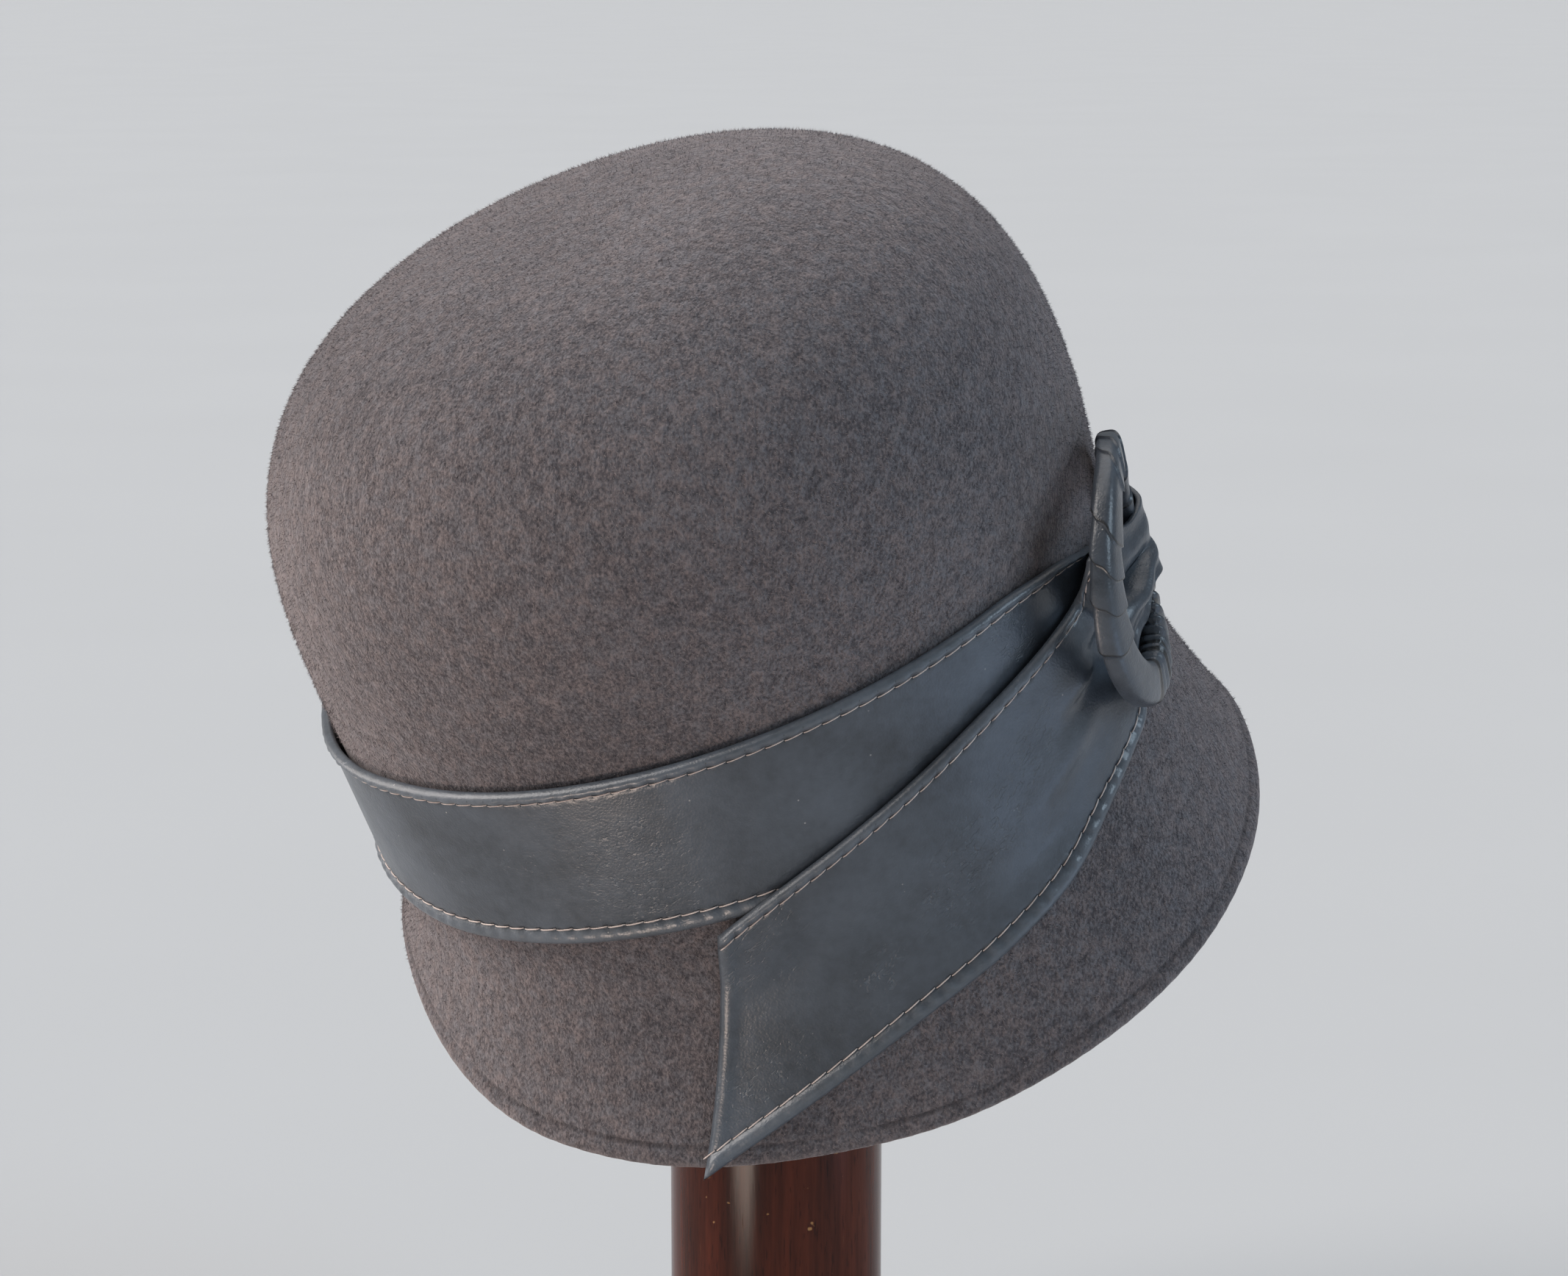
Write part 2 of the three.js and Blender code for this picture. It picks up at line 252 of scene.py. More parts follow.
class Wire:
    """One node output that takes part in Python sums, each of which adds a Math node."""

    def __init__(self, bench: Bench, socket: bpy.types.NodeSocket | None) -> None:
        """Keeps the socket, which an end node lacks, and the bench that its node is on."""
        self.bench = bench
        self.socket = socket

    def math(self, operation: str, *terms: Term) -> Wire:
        """Adds a Math node.

        Args:
            operation: the node's operation
            terms: its inputs in order
        Returns:
            The node's output.
        """
        return self.bench.node("ShaderNodeMath", {"operation": operation}, dict(enumerate(terms)))

    def __add__(self, other: Term) -> Wire:
        """Adds a value."""
        return self.math("ADD", self, other)

    def __radd__(self, other: Term) -> Wire:
        """Is added to a value."""
        return self.math("ADD", other, self)

    def __sub__(self, other: Term) -> Wire:
        """Takes a value away."""
        return self.math("SUBTRACT", self, other)

    def __rsub__(self, other: Term) -> Wire:
        """Is taken away from a value."""
        return self.math("SUBTRACT", other, self)

    def __mul__(self, other: Term) -> Wire:
        """Multiplies by a value."""
        return self.math("MULTIPLY", self, other)

    def __rmul__(self, other: Term) -> Wire:
        """Multiplies a value."""
        return self.math("MULTIPLY", other, self)

    def __truediv__(self, other: Term) -> Wire:
        """Divides by a value."""
        return self.math("DIVIDE", self, other)

    def __pow__(self, other: Term) -> Wire:
        """Raises to a power."""
        return self.math("POWER", self, other)

    def __abs__(self) -> Wire:
        """Drops the sign."""
        return self.math("ABSOLUTE", self)

    def least(self, other: Term) -> Wire:
        """Takes the smaller of two values."""
        return self.math("MINIMUM", self, other)

    def swing(self, half: float) -> Wire:
        """Runs up and down between 0 and half, so that it is 0 at each whole turn."""
        return self.math("PINGPONG", self, half)

    def as_vector(self) -> Wire:
        """Puts a value on the X axis."""
        return self.bench.node("ShaderNodeCombineXYZ", None, {"X": self})

    def between(self, low: float, high: float) -> Wire:
        """Gives the share of the way from low to high, eased at both ends.

        Args:
            low: where the share is 0
            high: where the share is 1
        Returns:
            The share.
        """
        ends = {"Value": self, "From Min": low, "From Max": high}
        return self.bench.node("ShaderNodeMapRange", {"interpolation_type": "SMOOTHSTEP"}, ends)


Term = Union[Wire, float, int]
Feed = Union[Wire, float, int, tuple]


class Bench:
    """The node tree of one material, wired by expressions."""

    def __init__(self, name: str) -> None:
        """Starts an empty material."""
        self.material = bpy.data.materials.new(name)
        self.material.use_nodes = True
        self.tree = self.material.node_tree
        self.tree.nodes.clear()

    def node(
        self, kind: str, settings: dict | None = None, feeds: dict | None = None, output: int | str = 0
    ) -> Wire:
        """Adds a node.

        Args:
            kind: the node's type
            settings: its own settings, set first
            feeds: the value or link of each socket, by name or number
            output: which output to give back
        Returns:
            That output.
        """
        made = self.tree.nodes.new(kind)
        for setting, value in (settings or {}).items():
            setattr(made, setting, value)
        for socket, value in (feeds or {}).items():
            self.feed(made.inputs[socket], value)
        return Wire(self, made.outputs[output] if made.outputs else None)

    def feed(self, socket: bpy.types.NodeSocket, value: Feed) -> None:
        """Links an output to a socket, or sets the socket's own value."""
        if isinstance(value, Wire):
            self.tree.links.new(value.socket, socket)
        elif isinstance(value, tuple) and socket.type == "RGBA":
            socket.default_value = (*value, 1.0)
        else:
            socket.default_value = value

    def place(self) -> Wire:
        """Gives the point's place in metres."""
        return self.node("ShaderNodeTexCoord", output="Object")

    def strip(self) -> tuple[Wire, Wire, Wire]:
        """Gives the spot on a strip, and its ways along and across, in metres."""
        spot = self.node("ShaderNodeUVMap", {"uv_map": STRIP_MAP})
        along = self.node("ShaderNodeSeparateXYZ", None, {0: spot}, "X")
        return spot, along, Wire(self, along.socket.node.outputs["Y"])

    def mark(self, name: str) -> Wire:
        """Gives a point attribute's value."""
        return self.node("ShaderNodeAttribute", {"attribute_name": name}, output="Fac")

    def stretched(self, place: Wire, scale: Triple, turn: Triple = (0.0, 0.0, 0.0)) -> Wire:
        """Turns and scales a pattern's place.

        Args:
            place: the place to start from
            scale: the scale along each axis
            turn: the turn about each axis, in degrees
        Returns:
            The new place.
        """
        angles = tuple(math.radians(angle) for angle in turn)
        return self.node("ShaderNodeMapping", None, {"Vector": place, "Scale": scale, "Rotation": angles})

    def noise(self, place: Wire, scale: float, detail: float = 2.0, roughness: float = 0.5) -> Wire:
        """Adds a noise pattern.

        Args:
            place: where the pattern is read
            scale: how many waves fit in a metre
            detail: how many finer layers it has
            roughness: how strong those are
        Returns:
            The noise, round 0.5.
        """
        feeds = {"Vector": place, "Scale": scale, "Detail": detail, "Roughness": roughness}
        return self.node("ShaderNodeTexNoise", None, feeds, "Fac")

    def cells(self, place: Wire, scale: float) -> Wire:
        """Adds a pattern of cells, and gives the distance to each one's middle."""
        return self.node("ShaderNodeTexVoronoi", None, {"Vector": place, "Scale": scale}, "Distance")

    def mix(self, share: Term, first: Feed, second: Feed) -> Wire:
        """Mixes two colours.

        Args:
            share: how much of the second one there is
            first: the colour at share 0
            second: the colour at share 1
        Returns:
            The mixed colour.
        """
        return self.node("ShaderNodeMix", {"data_type": "RGBA"}, {0: share, 6: first, 7: second}, 2)

    def bump(self, height: Wire, distance: float, strength: float = 1.0) -> Wire:
        """Gives a normal bent by a height pattern.

        Args:
            height: the pattern, about 0 to 1
            distance: how high 1 stands, in metres
            strength: how much of it is used
        Returns:
            The normal.
        """
        feeds = {"Height": height, "Distance": distance, "Strength": strength}
        return self.node("ShaderNodeBump", None, feeds)

    def finish(self, feeds: dict) -> bpy.types.Material:
        """Ends the tree in a Principled shader.

        Args:
            feeds: the value or link of each of its sockets
        Returns:
            The material.
        """
        shader = self.node("ShaderNodeBsdfPrincipled", None, feeds)
        self.node("ShaderNodeOutputMaterial", None, {"Surface": shader})
        return self.material


@dataclass(frozen=True)
class FeltFinish:
    """Velour felt: a deep ground speckled by the tips of its nap, with a soft bloom where it turns away, and
    painted shade in the sewn groove over the brim's hem.
    """

    name: str = "velour_felt"
    ground: Colour = linear(60, 58, 62)
    warm: Colour = linear(119, 110, 110)
    cool: Colour = linear(110, 108, 112)
    worn: Colour = linear(134, 124, 122)
    painted_shade: Colour = linear(40, 38, 41)
    bloom: Colour = linear(222, 210, 208)
    lie: Triple = (18.0, -20.5, 25.0)
    groove_up: float = 4.6 * MM

    def material(self) -> bpy.types.Material:
        """Makes the material."""
        bench = Bench(self.name)
        place = bench.place()
        combed = bench.stretched(place, (1.0, 1.0, 0.75), self.lie)
        grain = bench.noise(combed, 1500.0, 3.0, 0.65)
        clumps = bench.noise(combed, 420.0, 2.0, 0.6)
        patches = bench.noise(place, 20.0, 3.0, 0.55)
        tone = grain * 1.8 + clumps * 0.8 + patches * 0.5 - 1.05
        edge = bench.mark("from_edge")
        hem = 1.0 - edge.between(0.0, 2.2 * MM)
        # Painted shade: the sewn groove over the brim's hem is darkened, in patches.
        groove = 1.0 - abs(edge - self.groove_up).between(0.2 * MM, 0.9 * MM)
        groove = groove * bench.noise(place, 40.0, 3.0, 0.7).between(0.3, 0.6)
        tint = bench.mix(bench.noise(place, 300.0, 3.0, 0.7).between(0.35, 0.65), self.cool, self.warm)
        colour = bench.mix(tone.between(0.0, 1.0), self.ground, tint)
        colour = bench.mix(hem * 0.35, colour, self.worn)
        colour = bench.mix(groove * 0.6, colour, self.painted_shade)
        return bench.finish(
            {
                "Base Color": colour,
                "Roughness": 0.95,
                "Specular IOR Level": 0.15,
                "Sheen Weight": 0.5,
                "Sheen Roughness": 0.45,
                "Sheen Tint": self.bloom,
                "Normal": bench.bump(grain * 0.7 + clumps, 1.0 * MM, 0.8),
            }
        )


@dataclass(frozen=True)
class NapFinish:
    """One tone of the nap's single fibres."""

    name: str
    colour: Colour

    def material(self) -> bpy.types.Material:
        """Makes the material, whose one colour suits fibres thinner than a pattern."""
        bench = Bench(self.name)
        return bench.finish({"Base Color": self.colour, "Roughness": 0.8, "Specular IOR Level": 0.2})


@dataclass(frozen=True)
class CrackleSheenSpot:
    """A place where a strip is crackled and its creases carry a painted highlight: its middle along and
    across, and its reach, in metres.
    """

    along: float
    across: float
    reach: float


@dataclass(frozen=True)
class LeatherFinish:
    """Soft blue-grey leather with a fine grain and creases, and needle holes by its stitched hems."""

    name: str
    width: float = 0.0
    upper_in: float = 0.0
    lower_in: float = 0.0
    pitch: float = 0.0
    sewn_from: float = 0.0
    body: Colour = linear(74, 81, 90)
    deep: Colour = linear(34, 38, 43)
    pale: Colour = linear(124, 131, 138)
    dust: Colour = linear(176, 172, 168)
    # Dark colour of the needle holes, and of the painted shade at the ring's laps.
    hole_and_lap_shade: Colour = linear(18, 18, 19)
    # Spots where the creases are drawn plain and painted paler, a painted highlight.
    worn: tuple[CrackleSheenSpot, ...] = ()
    lap_shade: float = 0.0
    lap_shade_edge: tuple[float, float] = (0.93, 0.965)

    def material(self) -> bpy.types.Material:
        """Makes the material."""
        bench = Bench(self.name)
        spot, along, across = bench.strip()
        place = bench.place()
        grain = bench.cells(place, 1500.0)
        pores = bench.noise(place, 2600.0, 2.0, 0.6)
        clouds = bench.noise(place, 34.0, 4.0, 0.6)
        dimples = bench.noise(place, 120.0, 2.0, 0.5)
        fine = bench.noise(place, 420.0, 3.0, 0.6)
        # The creases bend the normal and are painted paler, a painted highlight.
        crackle_and_sheen = self.crackle_and_sheen(bench, spot, along, across)
        colour = bench.mix((clouds * 1.3 + fine * 0.4 - 0.3).between(0.0, 1.0), self.deep, self.body)
        # The hems and the tie's end are painted paler: partly rubbed wear, partly painted highlight on the
        # hems' puffs and the end's bevel.
        rubbed_and_sheen = bench.mark("rubbed_and_sheen") * (0.4 + fine)
        colour = bench.mix(crackle_and_sheen * 0.18 + rubbed_and_sheen * 0.26, colour, self.pale)
        height = grain * 0.2 + pores * 0.15 + fine * 0.3 + dimples * 0.35 + clouds * 1.8 - crackle_and_sheen * 0.6
        if self.pitch:
            holes, dots, groove = self.needle_marks(bench, along, across)
            colour = bench.mix(groove * 0.25, colour, self.deep)
            colour = bench.mix(holes * 0.6 + dots * 0.6, colour, self.hole_and_lap_shade)
            height = height - holes * 0.9
        specks = 1.0 - bench.cells(place, 210.0).between(0.03, 0.06)
        specks = specks * bench.noise(place, 70.0, 1.0).between(0.52, 0.64)
        colour = bench.mix(specks * 0.6, colour, self.dust)
        # Painted shade at the lap steps where one turn tucks under the next, and in the valleys of the
        # gathered foot.
        if self.lap_shade:
            colour = bench.mix(bench.mark("lap").between(*self.lap_shade_edge) * self.lap_shade, colour, self.hole_and_lap_shade)
        return bench.finish(
            {
                "Base Color": colour,
                "Roughness": 0.2 + fine * 0.14 + dimples * 0.16,
                "Specular IOR Level": 0.56,
                "Coat Weight": 0.1,
                "Coat Roughness": 0.22,
                "Normal": bench.bump(height, 0.28 * MM, 0.8),
            }
        )

    def crackle_and_sheen(self, bench: Bench, spot: Wire, along: Wire, across: Wire) -> Wire:
        """Draws fine wandering creases, faint all over and plain at the listed spots; they bend the normal,
        and their paler colour is a painted highlight.

        Args:
            bench: the material's bench
            spot: the place on the strip
            along: the way along the strip
            across: the way across it
        Returns:
            How plain the lines are.
        """
        net = bench.stretched(spot, (0.5, 1.1, 1.0), (0.0, 0.0, 14.0))
        lines = 1.0 - abs(bench.noise(net, 430.0, 2.0, 0.5) - 0.5).between(0.004, 0.035)
        lines = lines * bench.noise(spot, 260.0, 2.0, 0.6).between(0.4, 0.6)
        share = bench.noise(spot, 38.0, 2.0, 0.6).between(0.5, 0.68) * 0.5
        for place in self.worn:
            away = ((along - place.along) ** 2 + (across - place.across) ** 2) ** 0.5
            share = share + 1.0 - away.between(0.2 * place.reach, place.reach)
        return lines * share.least(1.0)

    def needle_marks(self, bench: Bench, along: Wire, across: Wire) -> tuple[Wire, Wire, Wire]:
        """Draws what sewing leaves in the leather.

        Args:
            bench: the material's bench
            along: the way along the strip
            across: the way across it
        Returns:
            The holes in the stitched lines, the dots on the upper hem, and the drawn-in lines themselves.
        """
        from_line = abs(across - self.upper_in).least(abs(across - (self.width - self.lower_in)))
        to_hole = along.swing(self.pitch / 2)
        begun = along.between(self.sewn_from - self.pitch, self.sewn_from)
        tall, round_dot = (to_hole / (0.17 * MM)) ** 2, (to_hole / (0.2 * MM)) ** 2
        holes = 1.0 - (tall + (from_line / (0.6 * MM)) ** 2).between(0.3, 1.0)
        dots = 1.0 - (round_dot + ((across - self.upper_in * 0.4) / (0.35 * MM)) ** 2).between(0.3, 1.0)
        dots = dots * bench.noise(along.as_vector(), 160.0, 1.0).between(0.4, 0.55)
        groove = 1.0 - from_line.between(0.1 * MM, 0.7 * MM)
        return holes * begun, dots * begun, groove * begun


@dataclass(frozen=True)
class ThreadFinish:
    """Pale twisted thread."""

    name: str = "pale_thread"
    light: Colour = linear(212, 199, 192)
    dark: Colour = linear(156, 141, 135)

    def material(self) -> bpy.types.Material:
        """Makes the material."""
        bench = Bench(self.name)
        place = bench.place()
        strands = bench.noise(place, 2600.0, 2.0)
        worn = bench.noise(place, 190.0, 2.0)
        tone = (strands * 0.7 + worn * 0.9 - 0.3).between(0.0, 1.0)
        return bench.finish(
            {
                "Base Color": bench.mix(tone, self.dark, self.light),
                "Roughness": 0.75,
                "Sheen Weight": 0.2,
                "Normal": bench.bump(strands, 0.12 * MM, 0.7),
            }
        )


@dataclass(frozen=True)
class WoodFinish:
    """Dark red-brown turned wood under a worn satin varnish, its grain running up the post."""

    name: str = "varnished_wood"
    dark: Colour = linear(34, 15, 10)
    red: Colour = linear(96, 45, 30)
    chip: Colour = linear(200, 150, 98)
    pore: Colour = linear(22, 11, 9)

    def material(self) -> bpy.types.Material:
        """Makes the material."""
        bench = Bench(self.name)
        place = bench.place()
        upward = bench.stretched(place, (1.0, 1.0, 0.06))
        grain = bench.noise(upward, 520.0, 4.0, 0.65)
        bands = bench.noise(upward, 70.0, 2.0)
        pores = bench.noise(bench.stretched(place, (1.0, 1.0, 0.12)), 1500.0, 2.0)
        scratch_way = bench.stretched(place, (1.0, 1.0, 0.05), (4.0, 7.0, 0.0))
        scratches = bench.noise(scratch_way, 900.0, 2.0).between(0.7, 0.76)
        scratches = scratches * bench.noise(place, 40.0, 1.0).between(0.5, 0.6)
        chips = bench.noise(place, 260.0, 2.0).between(0.71, 0.75)
        colour = bench.mix((grain * 0.8 + bands * 0.9 - 0.4).between(0.0, 1.0), self.dark, self.red)
        colour = bench.mix(pores.between(0.58, 0.7) * 0.5, colour, self.pore)
        colour = bench.mix(scratches * 0.5 + chips * 0.6, colour, self.chip)
        return bench.finish(
            {
                "Base Color": colour,
                "Roughness": 0.15 + grain * 0.1 + chips * 0.2,
                "Specular IOR Level": 0.18,
                "Normal": bench.bump(grain * 0.5 - scratches - chips, 0.12 * MM, 0.6),
            }
        )


@dataclass(frozen=True)
class FloorFinish:
    """Pale matt paper."""

    name: str = "pale_floor"
    pale: Colour = linear(180, 182, 184)
    grey: Colour = linear(176, 178, 180)

    def material(self) -> bpy.types.Material:
        """Makes the material."""
        bench = Bench(self.name)
        clouds = bench.noise(bench.place(), 3.0, 2.0)
        return bench.finish({"Base Color": bench.mix(clouds, self.grey, self.pale), "Roughness": 0.9})


def fit_out(
    piece: bpy.types.Object, finish: bpy.types.Material, slot: Slot, *nodes: str
) -> bpy.types.Object:
    """Gives a piece its material and body, and hides the solids that it stands for.

    Args:
        piece: the piece
        finish: its material
        slot: not used
        nodes: the solids that it replaces
    Returns:
        The piece.
    """
    piece.data.materials.append(finish)
    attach(piece, BODY)
    if nodes:
        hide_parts(*nodes)
    piece.data.calc_loop_triangles()
    LOG.info("%s: %d triangles", piece.name, len(piece.data.loop_triangles))
    return piece


@dataclass(frozen=True)
class HatForm:
    """The hat's form in its own frame: millimetres, degrees, head opening at height 0, front along +X."""

    half_length: float = 101.0
    half_width: float = 87.0
    crown_height: float = 141.0
    shoulder_height: float = 55.0
    squareness: float = 2.87
    top_shift: tuple[float, float] = (2.5, 1.2)
    wall_shift_share: float = 0.3
    brim_drops: tuple[float, ...] = (54.5, 63.0, 66.0, 48.0, 25.5)
    brim_flares: tuple[float, ...] = (13.5, 19.5, 17.0, 22.5, 8.0)
    brim_curl: float = 1.6
    dent_angle: float = -12.0
    dent_height: float = 16.0
    dent_depth: float = 5.0
    dent_spread: float = 26.0
    lean_back: float = 20.5
    tip_right: float = 20.0
    stands_at: Triple = (-3.0, 10.0, 217.5)

    def placed(self, points: Array) -> Array:
        """Puts points of the hat's frame where the hat stands, in metres."""
        lean = Matrix.Rotation(math.radians(-self.lean_back), 3, "Y")
        tip = Matrix.Rotation(math.radians(self.tip_right), 3, "X")
        return (points @ np.array(lean @ tip).T + np.array(self.stands_at)) * MM

    def turned(self, axes: Array) -> Array:
        """Turns directions of the hat's frame as the hat stands, in metres."""
        rows = axes.reshape(-1, 3)
        return (self.placed(rows) - self.placed(np.zeros(3))).reshape(axes.shape)

    def oval(self, angle: Array, lift: Array | float) -> Array:
        """Gives the head's oval radius at an angle, lifted off the outer face of the felt."""
        turn = np.radians(angle)
        long_way = np.cos(turn) / (self.half_length + lift)
        return 1.0 / np.hypot(long_way, np.sin(turn) / (self.half_width + lift))

    def at_radius(self, angle: Array, radius: Array, height: Array) -> Array:
        """Gives the point at an angle, radius and height, on the leaning axis of the crown.

        Args:
            angle: the angle from the front
            radius: the distance from the axis
            height: the height over the head opening
        Returns:
            The points.
        """
        low = np.clip(height / self.shoulder_height, 0.0, 1.0)
        rise = np.maximum(height - self.shoulder_height, 0.0) / (self.crown_height - self.shoulder_height)
        share = rise + (low - rise) * self.wall_shift_share
        turn = np.radians(angle)
        x = radius * np.cos(turn) + self.top_shift[0] * share
        y = radius * np.sin(turn) + self.top_shift[1] * rise
        return np.stack(np.broadcast_arrays(x, y, height), axis=-1)

    def drop(self, angle: Array) -> Array:
        """Gives how far the brim drops at an angle."""
        return self.round_the_brim(self.brim_drops, angle)

    def round_the_brim(self, stations: tuple[float, ...], angle: Array) -> Array:
        """Runs a smooth curve through values for the front, side and back, mirrored on the other side.

        Args:
            stations: the values, evenly spaced from front to back
            angle: where to read the curve
        Returns:
            The values there.
        """
        ring = np.array([*stations, *stations[-2:0:-1]])
        place = np.mod(angle, 360.0) * len(ring) / 360.0
        start = np.floor(place).astype(int)
        t = place - start
        a, b, c, d = (ring[(start + step) % len(ring)] for step in (-1, 0, 1, 2))
        return b + 0.5 * t * (c - a + t * (2 * a - 5 * b + 4 * c - d + t * (3 * (b - c) + d - a)))

    def wall(self, angle: Array, height: Array, lift: Array | float) -> Array:
        """Gives points of the wall and brim, dented where the ring presses.

        Args:
            angle: the angle from the front
            height: the height over the head opening, below 0 on the brim
            lift: how far off the outer face of the felt
        Returns:
            The points.
        """
        share = np.maximum(-height, 0.0) / self.drop(angle)
        flare = self.round_the_brim(self.brim_flares, angle) * share**self.brim_curl
        aside = np.radians((angle - self.dent_angle + 180.0) % 360.0 - 180.0) * self.half_length
        dent = self.dent_depth * bell(np.hypot(aside, height - self.dent_height), 0.0, self.dent_spread)
        return self.at_radius(angle, self.oval(angle, lift) + flare - dent, height)

    def dome(self, angle: Array, turn: Array, lift: Array | float) -> Array:
        """Gives points of the crown's dome, from its shoulder at turn 0 to its top at turn 90."""
        power = 2.0 / self.squareness
        rise = np.sin(np.radians(turn)) ** power * (self.crown_height + lift - self.shoulder_height)
        radius = self.oval(angle, lift) * np.clip(np.cos(np.radians(turn)), 0.0, 1.0) ** power
        return self.at_radius(angle, radius, self.shoulder_height + rise)


@dataclass
class FeltBody:
    """Crown and brim in one piece of felt, with the brim's edge turned in and sewn."""

    form: HatForm
    finish: FeltFinish = field(default_factory=FeltFinish)
    wall: float = 2.5
    hem_extra: float = 1.4
    hem_depth: float = 8.0
    hem_slope: float = 1.0
    hem_ease: float = 0.3
    groove_up: float = 4.6
    groove_depth: float = 0.5
    groove_spread: float = 0.6
    swell: float = 0.25
    swell_spread: float = 1.2
    scallop_pitch: float = 5.2
    scallop: float = 0.05
    ripple: float = 0.2
    ripple_waves: tuple[Triple, ...] = ((1.0, 7.0, 0.6), (0.7, 11.0, 2.1))
    inner_rows: tuple[float, ...] = (5.5, 4.0, 2.8)
    outer_from: float = 2.4
    outer_step: float = 0.35
    columns: int = 360
    dome_rows: int = 60
    wall_rows: int = 14
    brim_rows: int = 16
    edge_rows: int = 10

    def hem_section(self) -> list[tuple[float, float]]:
        """Gives the hem's section, from its inner step round the edge to its outer top.

        Returns:
            Pairs of the height over the brim's edge and the lift off the outer face.
        """
        full = self.wall + self.hem_extra
        round_edge = full / 2
        rows = [(self.hem_depth, -self.wall), (self.hem_depth - self.hem_slope / 2, -full + self.hem_ease)]
        rows += [(up, -full) for up in (self.hem_depth - self.hem_slope, *self.inner_rows)]
        for step in range(self.edge_rows + 1):
            turn = math.pi * (1.0 - step / self.edge_rows)
            rows.append((round_edge * (1.0 - math.sin(turn)), -round_edge * (1.0 - math.cos(turn))))
        for up in np.arange(self.outer_from, self.hem_depth + self.outer_step / 2, self.outer_step):
            sunk = self.groove_depth * float(bell(up, self.groove_up, self.groove_spread))
            swell = self.swell * float(bell(up, self.groove_up / 2, self.swell_spread))
            rows.append((float(up), swell - sunk))
        return rows

    def rows(self) -> tuple[Array, Array, Array]:
        """Lays out the closed skin, from the inner top, round the brim's edge, to the outer top.

        Returns:
            The points, and each one's height over the brim's edge and over the head opening.
        """
        angle = np.linspace(0.0, 360.0, self.columns + 1)
        drop = self.form.drop(angle)
        turns = 90.0 * eased(np.linspace(0.0, 1.0, self.dome_rows), 0.0, 1.0)
        points, edges, heights = [], [], []

        def add(row: Array, height: Array) -> None:
            """Keeps a row of points and its heights."""
            points.append(row)
            heights.append(np.broadcast_to(height, angle.shape))
            edges.append(np.broadcast_to(height + drop, angle.shape))

        def add_upper(lift: float, order: int) -> None:
            """Adds the brim above the hem, the wall and the dome, upwards or downwards."""
            brim = [-(drop - self.hem_depth) * (1.0 - s) for s in np.linspace(0.0, 1.0, self.brim_rows)[1:]]
            walls = list(np.linspace(0.0, self.form.shoulder_height, self.wall_rows)[1:])
            low = [(self.form.wall(angle, height, lift), height) for height in (*brim, *walls)]
            high = [(self.form.dome(angle, turn, lift), None) for turn in turns[1:]]
            for row, height in (low + high)[::order]:
                add(row, row[:, 2] if height is None else height)

        add_upper(-self.wall, -1)
        around = np.radians(angle)
        wave = sum(size * np.sin(around * count + start) for size, count, start in self.ripple_waves)
        scallops = np.sin(2.0 * math.pi * (around * self.form.half_length) / self.scallop_pitch)
        for up, lift in self.hem_section():
            low = 1.0 - up / self.hem_depth
            rise = up + (self.ripple * wave + self.scallop * scallops) * low
            add(self.form.wall(angle, -(drop - rise), lift), -(drop - up))
        add_upper(0.0, 1)
        return np.array(points), np.array(edges), np.array(heights)

    def build(self) -> bpy.types.Object:
        """Makes the felt."""
        points, edges, _ = self.rows()
        piece = laid_grid("felt_skin", self.form.placed(points), marks={"from_edge": edges * MM})
        return fit_out(piece, self.finish.material(), Slot.FELT, "felt_body")


@dataclass(frozen=True)
class StripMake:
    """How a leather strip is made: both long edges are rolled over and stitched. Millimetres."""

    width: float
    leather: float = 1.7
    roll: float = 1.1
    upper_in: float = 3.2
    lower_in: float = 4.5
    pitch: float = 4.7
    edge_round: float = 1.0
    roll_skew: float = 0.85
    end_round: float = 2.2
    end_fold: float = 0.0
    fold_at: float = 3.0
    fold_spread: float = 2.2
    groove: float = 0.18
    groove_spread: float = 0.16
    pucker: float = 0.14
    pillow: float = 0.2
    pillow_range: tuple[float, float] = (0.4, 1.6)
    pillow_at: float = 0.72
    pillow_spread: float = 0.28
    # How much paler the hems are painted: partly rubbed wear, partly painted highlight.
    rub_and_sheen: float = 0.75
    pillow_sheen: float = 0.25
    rub_and_sheen_from: float = 0.7
    end_sheen: float = 0.3
    end_sheen_spread: float = 3.5
    sewn_from: float = 0.0
    sewing_ease: float = 25.0
    first_stitch: float = 1.5
    seed: int = 5
    hem_steps: tuple[float, ...] = (
        0.0, 0.03, 0.09, 0.18, 0.3, 0.44, 0.58, 0.7, 0.8, 0.9, 1.0, 1.1, 1.2, 1.34, 1.55, 1.85
    )
    middle_steps: int = 26

    def shares(self) -> Array:
        """Gives the places across the strip, close together by the hems."""
        upper = np.array(self.hem_steps) * self.upper_in
        lower = self.width - np.array(self.hem_steps[::-1]) * self.lower_in
        middle = np.linspace(upper[-1], lower[0], self.middle_steps)[1:-1]
        return np.concatenate([upper, middle, lower]) / self.width

    def stitch_columns(self) -> tuple[int, int]:
        """Gives the columns that the two rows of stitches run along."""
        column = self.hem_steps.index(1.0)
        return column, -1 - column

    def look(self, name: str, worn: tuple[CrackleSheenSpot, ...]) -> LeatherFinish:
        """Gives the finish of a strip that is made like this.

        Args:
            name: the finish's name
            worn: where the strip is crackled and its creases carry a painted highlight
        Returns:
            The finish.
        """
        cuts = (self.width, self.upper_in, self.lower_in, self.pitch, self.sewn_from)
        return LeatherFinish(name, *(cut * MM for cut in cuts), worn=worn)


